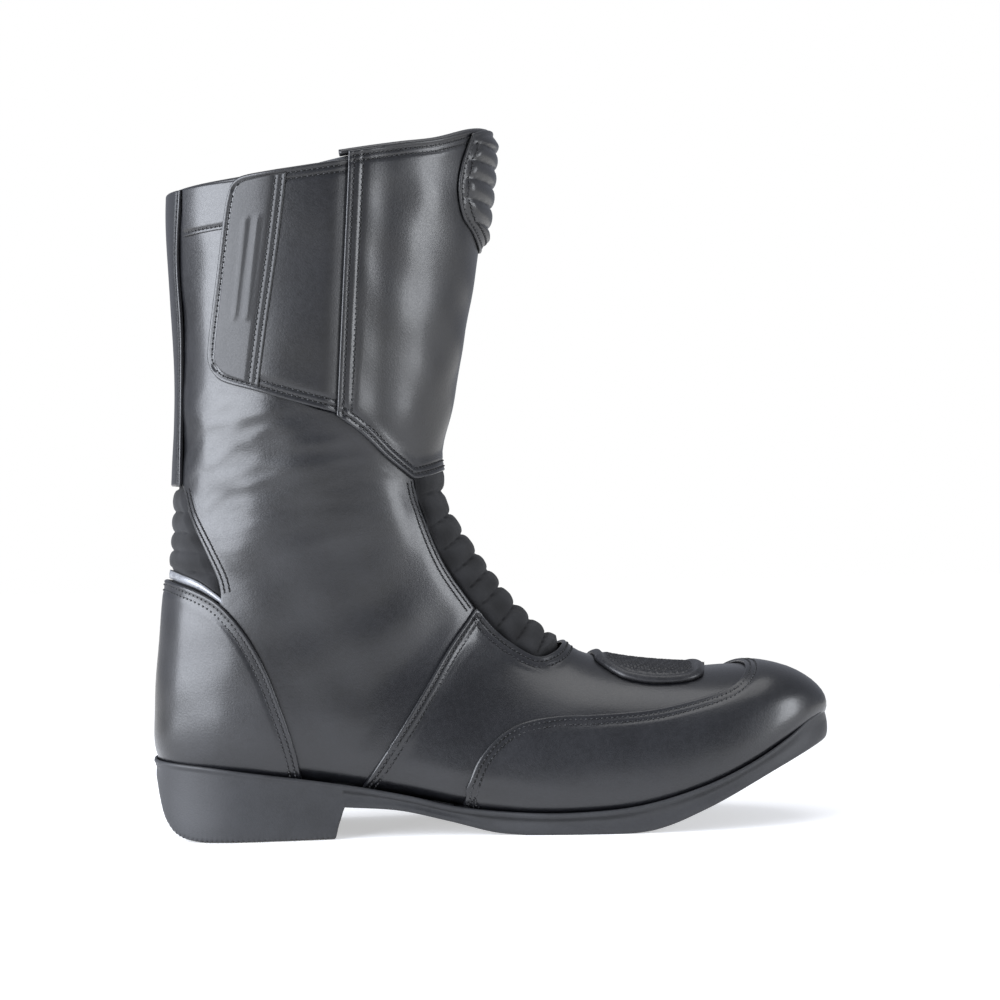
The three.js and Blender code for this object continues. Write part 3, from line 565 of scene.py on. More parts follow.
class Finish:
    """One material: a Principled shader with its uniform values, and nodes for what varies."""

    def __init__(self, name, **uniform):
        self.material = FINISHES[name] = bpy.data.materials.new(name)
        self.material.use_nodes = True
        self.tree = self.material.node_tree
        self.shader = self.tree.nodes["Principled BSDF"]
        for socket, value in uniform.items():
            self.shader.inputs[socket.replace("_", " ")].default_value = value
        self.place = self.node("ShaderNodeTexCoord", output="Object")

    def node(self, kind, settings=(), values=(), output=0):
        """A node with its settings, then its input values or links. Gives one of its outputs."""
        made = self.tree.nodes.new(kind)
        for key, value in dict(settings).items():
            if key == "stops":
                while len(made.color_ramp.elements) < len(value):
                    made.color_ramp.elements.new(0.5)
                for element, (at, colour) in zip(made.color_ramp.elements, value):
                    element.position, element.color = at, colour
            else:
                setattr(made, key, value)
        self.fill(made, values)
        return Wire(self, made.outputs[output])

    def fill(self, made, values):
        for key, value in dict(values).items():
            if isinstance(value, Wire):
                self.tree.links.new(value.socket, made.inputs[key])
            else:
                made.inputs[key].default_value = value

    def noise(self, scale, detail=3, rough=0.55, place=None):
        return self.node("ShaderNodeTexNoise", {}, {"Vector": place or self.place, "Scale": scale,
                                                    "Detail": detail, "Roughness": rough})

    def cells(self, scale, feature="F1", place=None):
        return self.node("ShaderNodeTexVoronoi", {"feature": feature},
                         {"Vector": place or self.place, "Scale": scale}, "Distance")

    def squeezed(self, x, y, z):
        return self.node("ShaderNodeMapping", {}, {"Vector": self.place, "Scale": (x, y, z)})

    def level(self, value, low, high, to_low=0.0, to_high=1.0):
        """A value mapped from one range to another, and kept inside it."""
        return self.node("ShaderNodeMapRange", {}, {"Value": value, "From Min": low, "From Max": high,
                                                    "To Min": to_low, "To Max": to_high})

    def mix(self, share, a, b):
        a, b = (value if isinstance(value, Wire) else (*value, 1) for value in (a, b))
        return self.node("ShaderNodeMix", {"data_type": "RGBA"}, {0: share, 6: a, 7: b}, 2)

    def finish(self, colour, roughness, height=None, depth=0.0002, strength=0.5):
        self.fill(self.shader, {"Base Color": colour, "Roughness": roughness})
        if height:
            normal = self.node("ShaderNodeBump", {},
                               {"Strength": strength, "Distance": depth, "Height": height})
            self.fill(self.shader, {"Normal": normal})
        return self.material


# %% [markdown]
# ### Leather
#
# The upper is smooth calf leather, dyed black and waxed. Its grain is a fine net of pebbles well under a
# millimetre across, with pores and a few long creases. The wax has worn to slightly uneven gloss, so the
# roughness drifts over the panels.

# %% Leathers
def leather(name, dark, pale, gloss, grain):
    f = Finish(name, Specular_IOR_Level=0.5, Coat_Weight=0.35, Coat_Roughness=0.2)
    cloud = f.noise(22, 4)
    fine = f.noise(420, 3)
    pebbles = f.cells(1150)
    pores = f.level(f.cells(620), 0.02, 0.16)
    creases = f.noise(60, 5, 0.6, f.squeezed(0.35, 1, 2.2))
    colour = f.mix(f.level(cloud * 0.7 + fine * 0.3, 0.38, 0.66), dark, pale)
    rough = f.level(cloud * 0.5 + fine * 0.25 + pebbles * 0.25, 0.25, 0.6, gloss - 0.07, gloss + 0.09)
    height = pebbles * 0.5 + pores * 0.25 + fine * 0.45 + creases * 0.7
    return f.finish(colour, rough, height, 0.00035, grain)


leather("black_leather", (0.0030, 0.0032, 0.0042), (0.0080, 0.0085, 0.0108), 0.34, 0.2)
leather("patch_leather", (0.0026, 0.0027, 0.0033), (0.0060, 0.0062, 0.0074), 0.6, 0.34)
strip_leather = leather("strip_leather", (0.006, 0.006, 0.007), (0.012, 0.012, 0.0135), 0.42, 0.4)

# %% [markdown]
# ### Rubbers, fabrics and the rest
#
# The sole is matte grey rubber with mould haze. The pads are softer black rubber. The bellows are a
# ribbed stretch textile, whose weave is two crossed waves. Thread is twisted, so it gets slanted ridges.

# %% Rubbers, fabrics, metals
def rubber(name, dark, pale, gloss, grain):
    f = Finish(name, Specular_IOR_Level=0.45)
    haze, fine, pits = f.noise(35, 5, 0.65), f.noise(900, 3), f.cells(1500)
    colour = f.mix(f.level(haze * 0.7 + fine * 0.3, 0.35, 0.68), dark, pale)
    rough = f.level(haze * 0.6 + fine * 0.4, 0.3, 0.7, gloss - 0.08, gloss + 0.1)
    return f.finish(colour, rough, fine * 0.6 + pits * 0.4 + haze * 0.6, 0.0003, grain)


def weave(name, dark, pale, pitch, gloss=0.86, grain=0.6, sheen=0.25, turn=(0, 0, 0)):
    """Threads as crossed waves: sin(x) sin(z) of the place, at a pitch in millimetres, plus fuzz."""
    f = Finish(name, Specular_IOR_Level=0.25, Sheen_Weight=sheen, Sheen_Roughness=0.6)
    turned = f.node("ShaderNodeMapping", {}, {"Vector": f.place, "Rotation": turn})
    waves = [f.node("ShaderNodeTexWave", {"bands_direction": way},
                    {"Vector": turned, "Scale": 314.16 / pitch / 10, "Distortion": 0.6, "Detail": 2.0,
                     "Detail Scale": 3.0}) for way in "XYZ"]
    fuzz, cloud = f.noise(1600, 3), f.noise(30, 4)
    threads = waves[0] * 0.45 + waves[1] * 0.45 + waves[2] * 0.6
    colour = f.mix(f.level(threads * 0.6 + fuzz * 0.4 + cloud * 0.3, 0.45, 1.1), dark, pale)
    return f.finish(colour, f.level(fuzz, 0.3, 0.7, gloss - 0.08, gloss + 0.08), threads + fuzz * 0.5,
                    0.0004, grain)


def metal(name, dark, pale, gloss, way=(1, 1, 1), metallic=1.0):
    f = Finish(name, Metallic=metallic)
    streaks, cloud = f.noise(500, 3, 0.6, f.squeezed(*way)), f.noise(90, 4)
    colour = f.mix(f.level(streaks * 0.5 + cloud * 0.5, 0.35, 0.65), dark, pale)
    rough = f.level(streaks, 0.3, 0.7, gloss - 0.07, gloss + 0.1)
    return f.finish(colour, rough, streaks, 0.0001, 0.25)


def beads(name):
    """Silver film with glass beads: pale grey, with a fine sparkle of cells and faint scuffs."""
    f = Finish(name, Metallic=0.35, Specular_IOR_Level=0.7)
    dots, scuffs = f.cells(2600), f.noise(160, 4)
    colour = f.mix(f.level(dots * 0.6 + scuffs * 0.6, 0.35, 0.85), (0.16, 0.165, 0.18), (0.34, 0.35, 0.37))
    return f.finish(colour, f.level(scuffs, 0.3, 0.7, 0.3, 0.5), dots, 0.0001, 0.4)


def plied(name):
    """Thread: black, with ridges slanted along it and a little fuzz."""
    f = Finish(name, Specular_IOR_Level=0.5)
    ply = f.node("ShaderNodeTexWave", {"bands_direction": "DIAGONAL"},
                 {"Vector": f.place, "Scale": 160.0, "Distortion": 1.0})
    fuzz = f.noise(2500, 2)
    colour = f.mix(f.level(ply * 0.6 + fuzz * 0.5, 0.3, 0.9), (0.004, 0.004, 0.005), (0.018, 0.0185, 0.021))
    return f.finish(colour, f.level(fuzz, 0.3, 0.7, 0.42, 0.62), ply + fuzz * 0.4, 0.0001, 0.5)


def fibre_board(name):
    f = Finish(name, Specular_IOR_Level=0.2)
    fibres, cloud = f.noise(700, 4, 0.6, f.squeezed(0.3, 1, 1)), f.noise(60, 4)
    colour = f.mix(f.level(fibres * 0.6 + cloud * 0.4, 0.35, 0.65), (0.24, 0.17, 0.10), (0.38, 0.29, 0.18))
    return f.finish(colour, f.level(cloud, 0.3, 0.7, 0.8, 0.95), fibres, 0.0003, 0.4)


rubber("sole_rubber", (0.016, 0.0165, 0.018), (0.030, 0.031, 0.034), 0.5, 0.3)
rubber("pad_rubber", (0.012, 0.012, 0.013), (0.028, 0.028, 0.031), 0.38, 0.35)
weave("bellows_fabric", (0.0045, 0.0045, 0.005), (0.014, 0.0142, 0.0155), 1.1, sheen=0.08)
weave("webbing", (0.008, 0.008, 0.009), (0.024, 0.024, 0.026), 0.9)
weave("lining_mesh", (0.016, 0.017, 0.019), (0.052, 0.054, 0.060), 1.6)
thread = plied("thread")
# A near-black finish for the lenses that paint the shade inside each needle hole.
painted_hole_shade = rubber("painted_hole_shade", (0.001, 0.001, 0.001), (0.003, 0.003, 0.003), 0.9, 0.1)
beads("reflective")
metal("dark_metal", (0.05, 0.05, 0.052), (0.12, 0.12, 0.125), 0.36)
metal("steel", (0.42, 0.43, 0.45), (0.62, 0.63, 0.65), 0.32, (0.08, 1, 1))
rubber("stiffener_plastic", (0.018, 0.018, 0.019), (0.034, 0.034, 0.036), 0.5, 0.2)
fibre_board("board")
print("finishes:", ", ".join(FINISHES))


def settle(piece, rides, slot, nodes=(), material=None):
    """Gives a piece its finish and its body, and hides the nodes it stands for. A piece that rides the ankle
    or the flap's root only has its transform baked.
    """
    piece.data.materials.append(material or FINISHES[slot])
    if rides == "ankle":
        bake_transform(piece)
    elif rides == "flap_root":
        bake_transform(piece)
    else:
        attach(piece, rides)
    if nodes:
        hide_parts(*nodes)
    return piece


# %% [markdown]
# ## Seams
#
# These are the seams of the pattern, as points (x, z) of the side view. A seam that crosses the front or
# the back is drawn up to there, and the other side mirrors it. Its points lie closer together near the
# crossing, where a small step in the side view is a long way round the boot.

# %% The seam lines
def crossing(points, back=False, steps=120):
    """A seam that ends on the front ridge, or on the back one, with its points drawn closer at the end."""
    t = np.linspace(0, 1, steps)
    line_ = place_of(even(smooth(points, 400), 1 - (1 - t) ** 2.2))
    line_[-1, 1] = 0.5 if back else 0
    return line_


def corner_line(*parts):
    return np.concatenate([parts[0]] + [part[1:] for part in parts[1:]])


RIM = smooth([(-160, 35.5), (-133.3, 33.6), (-111.9, 30.5), (-89.5, 27.2), (-64.5, 23), (-42.7, 18.4),
              (-20, 12.8),
              (5.5, 10.2), (32.1, 10), (59, 12.6), (86.1, 20), (108.8, 29.5), (127.2, 39.6), (142, 48.5),
              (160, 54)], 200)


def rim_height(x):
    return np.interp(x, RIM[:, 0], RIM[:, 1])


def hem(x0, x1, steps=60, below=3.5):
    """The upper's hidden bottom edge, just below the sole's rim. It stays on the side of the foot, and
    goes right round only at the heel and the toe."""
    x = np.linspace(x0, x1, steps)
    line_ = place_of(np.stack([x, rim_height(x) - below], -1))
    farthest = np.interp(line_[:, 0], [11.6, 13, 23.5, 25.2], [0.5, 0.44, 0.43, 0.5])
    line_[:, 1] = np.minimum(line_[:, 1], farthest)
    return line_


VAMP_SEAM = [(-9.5, 98.5), (-22.1, 82.4), (-33.3, 65.3), (-46.8, 44.7), (-58.6, 27.2), (-62.5, 20.5)]
BELLOWS_SIDE = [(-37.5, 158.6), (-34.6, 145.9), (-24.4, 120.5), (-9.5, 98.5)]
BELLOWS_TOE = [(-9.5, 98.5), (-1.8, 89), (8.3, 80.8), (17.2, 76.1), (25, 77.5), (31.7, 81.6)]
PANEL_FOOT = [(-71.4, 186.5), (-59.8, 178), (-49.2, 167.9), (-37.5, 158.6)]
SHIN_CROSSING = [(-37.5, 158.6), (-30, 160.2), (-22.4, 162.7)]
HEEL_BELLOWS = [(-138.6, 154.3), (-135.8, 141.1), (-129.6, 126.6), (-124.6, 114.7), (-123, 106)]
COUNTER_EDGE = [(-145.6, 114.3), (-142, 113.2), (-132, 109.4), (-122.7, 103.4), (-112.9, 91.5),
                (-104.6, 76.2),
                (-97.5, 56.9), (-92.2, 40.2), (-88.4, 24)]
TOE_CAP_EDGE = [(-21.3, 10), (-20.2, 14.4), (-16.7, 24.9), (-11.3, 35.2), (-3.2, 43.6), (7.9, 49),
                (23.4, 51.2),
                (41.1, 51.5), (63.4, 52.7), (81.4, 55.7), (99.1, 60), (108, 64.6), (114.6, 70.4)]
FRONT_TOP = [(-64.7, 298.5), (-42.9, 302.4), (-25.5, 305.4), (-9, 311), (2, 314)]
HINGE_TOP, HINGE_FOOT = np.array([-64.7, 298.5]), np.array([-71.4, 186.5])


def behind_hinge(setback, z):
    """A spot at a height, behind the line that the flap is sewn along."""
    share = (z - HINGE_FOOT[1]) / (HINGE_TOP[1] - HINGE_FOOT[1])
    return np.array([HINGE_FOOT[0] + (HINGE_TOP[0] - HINGE_FOOT[0]) * share - setback, z])


def moved(points, dx, dz):
    return [(x + dx, z + dz) for x, z in points]


# %% [markdown]
# ## The foot
#
# The toe cap and the heel counter are horseshoes that wrap the ends of the foot, a layer above the vamp
# and the quarters. The toe cap's patch is drawn around the toe's tip, where the turns of the last meet
# in a point. Their lower edges go down behind the rim of the sole, as lasted leather does.

# %% Toe cap, heel counter and vamp
toe_low = np.concatenate([hem(-20.8, 147.4, 150), [[24.97, 0.5]]])
toe_high = crossing(TOE_CAP_EDGE)


def round_toe(line_):
    return np.concatenate([line_, np.stack([line_[::-1][1:, 0], -line_[::-1][1:, 1]], -1)])


toe_cap = Panel(Patch(round_toe(toe_low), round_toe(toe_high), round_toe=True), *OVER_LAYER,
                rows={"high": (2.2, 4.6)}, seed=2, waves=0.15)
settle(toe_cap.build("toe_cap_leather"), "foot", "black_leather", ["toe_cap"])
toe_cap.sew("foot")

counter_low = np.concatenate([hem(-89.2, -151.5, 90), [[11.5, 0.5]]])
counter_low[-12:, 1] = np.linspace(counter_low[-12, 1], 0.5, 12)
counter_high = crossing(COUNTER_EDGE[::-1], back=True)
heel_counter = Panel(Patch(across(counter_low, True), across(counter_high, True)), *OVER_LAYER,
                     rows={"high": (2.2, 4.6)}, seed=3, waves=0.35)
settle(heel_counter.build("heel_counter_leather"), "foot", "black_leather", ["heel_counter"])
heel_counter.sew("foot")

vamp_seam = seam(moved(VAMP_SEAM, -0.9, 0.7)[::-1], 90)
vamp_rear = corner_line(vamp_seam, crossing(BELLOWS_TOE))
vamp_front = crossing([(-24, 12)] + moved(TOE_CAP_EDGE, 4, -5)[1:-1] + [(118, 70.1)])
vamp = Panel(Patch(across(vamp_rear), across(vamp_front)), *UNDER_LAYER, rows={"low": (2.4, 5)},
             laps=[("low", 1.9, 9)], seed=4, waves=0.25)
settle(vamp.build("vamp_leather"), "foot", "black_leather", ["vamp"])
vamp.sew("foot")

# %% [markdown]
# ## The quarters
#
# The quarters are the large side panels. They run from the sole to the collar, and are joined down the
# back. They bend at the ankle, and here they are only baked in place, on no body. Real leather never
# lies quite smooth there: shallow creases run across the ankle and below the flap.

# %% Quarters
def ankle_creases(p, rim):
    """Creases: noise stretched along the boot and sharpened, only where the ankle bends."""
    here = np.exp(-(((p[:, 2] - 165) / 42) ** 2) - (((p[:, 0] + 100) / 48) ** 2))
    folds = 1 - np.abs(bumps(p, 15, 21, (3.2, 1, 0.8))) * 2.4
    creases = 0.34 * np.clip(folds, -0.3, 1) + 0.5 * bumps(p, 40, 22, (1.6, 1, 1))
    return creases * here * np.clip(rim / 8, 0, 1)


def quarter_rear():
    under_counter = seam([(-96.5, 20), (-99, 45), (-105, 66), (-112, 82), (-119.5, 95), (-125, 102.5)], 60)
    beside_bellows = seam(HEEL_BELLOWS[::-1], 50)
    over_bellows = seam([(-138.6, 154.3), (-139.6, 156.6), (-143.6, 157.6)], 16)
    over_bellows[-1, 1] = 0.5
    top = place_of([(-143.5, 285.4)])[0, 0]
    return corner_line(under_counter, beside_bellows, over_bellows,
                       straight(over_bellows[-1], np.array([top, 0.5]), 90))


rear = quarter_rear()
front_low = [seam(VAMP_SEAM[::-1], 80), seam(BELLOWS_SIDE[::-1], 50), seam(PANEL_FOOT[::-1], 40)]
slit_foot = behind_hinge(18.5, 192.5)
medial_front = corner_line(*front_low, seam([HINGE_FOOT, behind_hinge(8, 188.5), slit_foot], 20),
                           seam([slit_foot, behind_hinge(18.5, 240), behind_hinge(18.5, 291.3)], 60))
lateral_front = corner_line(*front_low, seam([HINGE_FOOT, behind_hinge(0, 240), behind_hinge(-1, 297.4)], 70))


def quarter(front_edge, top_spots):
    low = straight(rear[0], front_edge[0], 30)
    top = seam(top_spots, 40)
    top[0], top[-1] = rear[-1], front_edge[-1]
    return Patch(low, top, rear, front_edge)


medial_patch = quarter(medial_front, [(-143.5, 285.4), (-111.8, 288), tuple(behind_hinge(18.5, 291.3))])
lateral_patch = quarter(lateral_front, [(-143.5, 285.4), (-111.8, 288), tuple(behind_hinge(-1, 297.4))])
mirrored(lateral_patch)
quarters = {}
for side, patch in (("medial", medial_patch), ("lateral", lateral_patch)):
    panel = Panel(patch, *UNDER_LAYER, rows={"high": (2.4, 4.8)}, relief=ankle_creases, seed=5, waves=0.8,
                  step=2)
    settle(panel.build("quarter_leather_" + side), "ankle", "black_leather", ["quarter_" + side])
    panel.sew("shaft", ends=4)
    quarters[side] = panel

# %% Stitching along the quarters' flex seams
for side, sign in (("medial", 1), ("lateral", -1)):
    for points, gaps in ((BELLOWS_SIDE, (2.2, 4.6)), (HEEL_BELLOWS, (2.2, 4.6))):
        line_ = seam(points, 60)
        towards = last_point(*place_of([(-70, 120)]).T) - last_point(*line_.T)
        for gap in gaps:
            row = beside(line_, towards, gap)
            row[:, 1] = row[:, 1] if sign > 0 else 1 - row[:, 1]
            base, normal = last_point(*row.T), last_normal(*row.T)
            stitch_row("ankle", base + normal * quarters[side].heights(base)[1][:, None], normal, 2)

# %% [markdown]
# ## The front of the shaft
#
# One panel wraps the shin. Its rear edges climb over the quarters, and on the inner side over the root of
# the flap, where a wide double row of stitches holds all the layers.

# %% Shaft front
foot_medial = corner_line(seam(moved(PANEL_FOOT, -1, -1.1), 50), crossing(moved(SHIN_CROSSING, -0.4, -1.2)))
top_medial = crossing(FRONT_TOP)
top_medial[0] = place_of([behind_hinge(1, 298.4)])[0]
rear_medial = seam([(-72.4, 185.4), behind_hinge(1, 240), behind_hinge(1, 298.4)], 70)
rear_medial[-1] = top_medial[0]
shaft_front = Panel(Patch(across(foot_medial), across(top_medial), rear_medial, other(rear_medial)),
                    *UNDER_LAYER,
                    rows={"low": (2.2, 4.6), "left": (2.6, 6.4), "right": (2.4, 4.8), "high": (2.4, 4.8)},
                    laps=[("low", 1.9, 9), ("left", 3.6, 20), ("right", 1.9, 9)], seed=6, waves=0.65)
settle(shaft_front.build("shaft_front_leather"), "shaft", "black_leather", ["shaft_front"])
shaft_front.sew("shaft")

# %% [markdown]
# ## Bellows and pads
#
# The instep and the heel tendon have bellows: rolls of stuffed stretch fabric, sewn across, that let the
# ankle bend. A cloth simulation would swell each roll, but the rolls are so regular that their shape is
# better worked out: a row of half circles across the ridge, each held down by a seam and fading into the
# leather at its ends.

# %% Rolls
def rolls(p, spine, centres, height):
    """Half circles: the run of the nearest point of the spine is read as a phase that is a whole number
    halfway between two centres, and the height is the root of 1 - (2 share - 1)^2."""
    spine = flat_line(spine, 0.25)
    run = np.concatenate([[0], np.cumsum(np.linalg.norm(np.diff(spine, axis=0), axis=1))])
    flat = p[:, [0, 2]]
    nearest = ((spine[:, [0, 2]] ** 2).sum(1) - 2 * flat @ spine[:, [0, 2]].T).argmin(1)
    a = spine[nearest][:, [0, 2]]
    way = unit(np.gradient(spine[:, [0, 2]], axis=0))[nearest]
    at = run[nearest] + ((flat - a) * way).sum(1)
    c = run[((spine[:, None, [0, 2]] - np.asarray(centres)) ** 2).sum(-1).argmin(0)]
    edges = np.concatenate([[1.5 * c[0] - 0.5 * c[1]], (c[1:] + c[:-1]) / 2, [1.5 * c[-1] - 0.5 * c[-2]]])
    phase = np.interp(at, edges, np.arange(len(edges)), left=0, right=len(c))
    share = phase - np.floor(phase)
    return height * np.sqrt(np.maximum(1 - (2 * share - 1) ** 2, 0)) ** 0.8


RIDGE_STEPS = np.linspace(0, 17.5, 400)
ridge = last_point(RIDGE_STEPS, np.zeros(400))
tendon = last_point(np.linspace(4.5, 9, 200), np.full(200, 0.5))
INSTEP_ROLLS = [(-21.4, 157.5), (-18.9, 147.4), (-14.9, 138.7), (-9.6, 128.2), (-4.3, 119.4), (0.2, 113),
                (6.9, 104.2),
                (13.7, 96.3), (20.5, 90.2), (28.7, 85)]
TENDON_ROLLS = [(-143.5, 149.6), (-144.1, 139.8), (-144.7, 131.7), (-145.3, 123.7), (-145.8, 115.5)]
BAND_TOP = [(-122.4, 106.2), (-132, 113.4), (-142, 117.6), (-145.9, 118.8)]
SHIN_ROLLS = [(-0.8, 315), (5.5, 308.6), (4.4, 301), (1.5, 293.2), (0, 284.6), (-1.5, 275.5), (-2.5, 266.5)]


def instep_rolls(p, rim):
    fade = np.clip((rim - 0.4) / 2.6, 0, 1) ** 0.7
    return rolls(p, ridge, INSTEP_ROLLS, 3.3) * fade + 0.15 * bumps(p, 5, 31)


left_low = crossing(BELLOWS_TOE)[::-1]
left_edge = corner_line(left_low, seam(BELLOWS_SIDE[::-1], 60))
wide = last_point(*place_of([(-70, 120)]).T) - last_point(*left_edge.T)
left_edge = beside(left_edge, wide, 1.2)
left_edge[0, 1] = 0
bellows_top = crossing([(-38.5, 161.5), (-30, 163.6), (-22.4, 166.5)])
bellows_top[0] = left_edge[-1]
start = left_edge[:1].repeat(20, 0)
start[:, 1] = np.linspace(0.004, -0.004, 20)
left_edge[0] = start[0]
instep = Panel(Patch(start, across(bellows_top), left_edge, other(left_edge)), -2.4, -1.5,
               relief=instep_rolls, step=0.85, waves=0, rounding=0.5, fine=False)
settle(instep.build("instep_bellows_cloth"), "ankle", "bellows_fabric", ["instep_bellows"])


def tendon_rolls(p, rim):
    above_band = np.clip((p[:, 2] - np.interp(p[:, 0], *np.array(BAND_TOP[::-1]).T)) / 2, 0, 1)
    swell = rolls(p, tendon, TENDON_ROLLS, 2.5) * np.clip((rim - 0.5) / 4, 0, 1) ** 0.7
    return swell * above_band + 0.12 * bumps(p, 5, 32)


side_edge = seam(moved(HEEL_BELLOWS[::-1], 1, 0), 60)
low_edge = crossing([tuple(np.add(HEEL_BELLOWS[-1], (1, 0))), (-134, 104), (-146.5, 104)], back=True)
high_edge = crossing([(-137.6, 154.3), (-139, 158), (-143.5, 160)], back=True)
low_edge[0], high_edge[0] = side_edge[0], side_edge[-1]
rear_bellows = Panel(Patch(across(low_edge, True), across(high_edge, True), side_edge,
                           other(side_edge, True)),
                     -2.6, -1.7, relief=tendon_rolls, step=0.8, waves=0, rounding=0.5, fine=False)
settle(rear_bellows.build("rear_bellows_cloth"), "ankle", "bellows_fabric", ["rear_bellows"])


# %% Shin pad and gear-shift pad
def shin_rolls(p, rim):
    return rolls(p, ridge, SHIN_ROLLS, 2.9) * np.clip((rim - 2) / 4, 0, 1) ** 0.7


SHIN_EDGE = [(-4, 260), (-9.4, 267), (-14.2, 273), (-16.4, 284), (-14.7, 296), (-9.5, 310)]
pad_edge = seam(SHIN_EDGE, 60)
pad_low = straight(pad_edge[0], np.array([pad_edge[0][0], 0]), 40)
pad_high = crossing([(-9.5, 310), (-4, 312.5), (2.2, 314.5)])
pad_high[0] = pad_edge[-1]
shin_pad = Panel(Patch(across(pad_low), across(pad_high), pad_edge, other(pad_edge)), 0.3, 1.6,
                 rows={"left": (2.0, 4.2), "right": (2.0, 4.2)}, relief=shin_rolls, step=0.9, waves=0)
settle(shin_pad.build("shin_pad_cover"), "shaft", "pad_rubber", ["shin_pad"], strip_leather)
shin_pad.sew("shaft")

PAD_LOW = [(48.3, 71), (52, 68.3), (57, 65.9), (68, 63.9), (82, 64), (91, 66), (95.3, 69)]
PAD_REAR, PAD_FRONT = [(48.3, 71), (46, 73), (45.1, 74.2)], [(95.3, 69), (97, 69.8), (97.6, 70.6)]
shift_low = seam(PAD_LOW, 80)
shift_rear, shift_front = crossing(PAD_REAR), crossing(PAD_FRONT)
shift_rear[0], shift_front[0] = shift_low[0], shift_low[-1]


def pad_pattern(p, rim):
    """A raised rim, a groove inside it, and a field of small diamonds: the height of the field is the
    smaller of two folded diagonal waves."""
    field = np.clip((rim - 5.2) / 1.2, 0, 1)
    a, b = (p[:, 0] + 1.25 * p[:, 1]) / 3.1, (p[:, 0] - 1.25 * p[:, 1]) / 3.1
    fold = np.minimum(np.abs(a % 1 - 0.5), np.abs(b % 1 - 0.5)) * 2
    rim_bead = 0.9 * np.exp(-(((rim - 2.2) / 1.3) ** 2))
    groove = 0.55 * np.exp(-(((rim - 4.6) / 0.7) ** 2))
    return rim_bead - groove + field * (0.95 * np.clip(fold * 1.6, 0, 1) - 0.45)


shift_pad = Panel(Patch(shift_low, other(shift_low), across(shift_rear), across(shift_front)), 0.3, 2.3,
                  relief=pad_pattern, step=0.55, waves=0, rounding=1.1)
settle(shift_pad.build("shift_pad_rubber"), "foot", "pad_rubber", ["shift_pad"])

# %% [markdown]
# ## Strips
#
# Narrow strips finish the boot: one covers the back seam, two face the collar, one of silver film lies
# above the heel counter, and a soft binding rolls over the top edge and hides the cut layers.

# %% Back strip, collar facings, reflective strip
strip_edge = seam([(-138.9, 156), (-137.7, 194.2), (-137.2, 225.2), (-138.4, 256.3), (-136.5, 286)], 80)
strip_low = crossing([(-138.9, 156), (-141, 156), (-143.6, 156)], back=True)
strip_high = crossing([(-136.5, 286), (-139, 286), (-143.6, 286)], back=True)
strip_low[0], strip_high[0] = strip_edge[0], strip_edge[-1]
back_strip = Panel(Patch(across(strip_low, True), across(strip_high, True), strip_edge,
                         other(strip_edge, True)),
                   0.3, 1.9, rows={"left": (1.9,), "right": (1.9,)}, waves=0.1, step=1.6)
settle(back_strip.build("back_strip_leather"), "shaft", "black_leather", ["back_strip"])
back_strip.sew("shaft")

for side in ("medial", "lateral"):
    low, high = seam([(-136, 265.2), (-115, 266.9)], 30), seam([(-136, 286.2), (-112.5, 287.3)], 30)
    patch = Patch(low, high) if side == "medial" else mirrored(Patch(low, high))
    facing = Panel(patch, 0.2, 1.1, rows={"low": (1.6,)}, waves=0.1, step=1.6)
    settle(facing.build("collar_facing_leather_" + side), "shaft", "black_leather", ["collar_facing_" + side])
    facing.sew("shaft", ends=3)

BAND_FOOT = [(-121.8, 103.6)] + moved(COUNTER_EDGE[:3][::-1], 0, 0.9)
band_low, band_high = crossing(BAND_FOOT, back=True), crossing(BAND_TOP, back=True)
band = Panel(Patch(across(band_low, True), across(band_high, True)), -0.9, 0.2, waves=0, step=1.5,
             rounding=0.3, fine=False)
settle(band.build("reflective_band"), "foot", "reflective", ["reflective_strip"])

# %% [markdown]
# ## The flap and the zip
#
# The zip lies behind the flap, in a slit that opens the shaft. The flap is a stiff leather leaf, sewn
# under the front panel and held by hook and loop. Its free end is faced with smoother leather.

# %% Flap
FLAP_FREE = [(-123.2, 206), (-124.3, 215), (-120.2, 247.8), (-116.6, 275), (-114.2, 284.5)]
FLAP_FOOT = [(-123.2, 206), (-118.5, 200.8), (-105, 196.3), (-88, 191), (-66.4, 184.8)]
FLAP_TOP = [(-114.2, 284.5), (-110, 288.3), (-98, 290.4), (-86.3, 292), (-59.7, 295.9)]


def flap_rise(p, rim):
    """The leaf climbs from the layer under the front panel to the one over the closed zip."""
    front = np.interp(p[:, 2], [HINGE_FOOT[1], HINGE_TOP[1]], [HINGE_FOOT[0], HINGE_TOP[0]])
    return 2.7 * (1 - rise_over(np.maximum(front + 1 - p[:, 0], 0), 9))


class Leaf(Panel):
    """A panel whose inner face follows the relief as well."""

    def heights(self, p):
        inner, outer = super().heights(p)
        rim = np.full(len(p.reshape(-1, 3)), 9.0)
        return inner + self.relief(p.reshape(-1, 3), rim), outer


flap = Leaf(Patch(seam(FLAP_FOOT, 70), seam(FLAP_TOP, 70), seam(FLAP_FREE, 70),
                  seam([(-66.4, 184.8), (-63, 240), (-59.7, 295.9)], 60)), 0.2, 2.0,
            rows=dict.fromkeys(("low", "high", "left"), (2.4, 5.0)), relief=flap_rise, waves=0.25, seed=8)
settle(flap.build("flap_leather"), "flap_root", "black_leather", ["flap"])
flap.sew("flap", ends=3)

FACING_FRONT = [(-104, 198.4), (-100.1, 226.2), (-96.2, 251.9), (-92.8, 277), (-91.3, 289.3)]
FACING_REAR = [(-120.6, 208.5), (-120.9, 215), (-117.2, 247), (-113.6, 274), (-111.3, 283.4)]
facing_low = seam([(-120.6, 208.5), (-116.5, 203.6), (-104, 198.4)], 30)
facing_high = seam([(-111.3, 283.4), (-107.4, 286.6), (-91.3, 289.3)], 30)


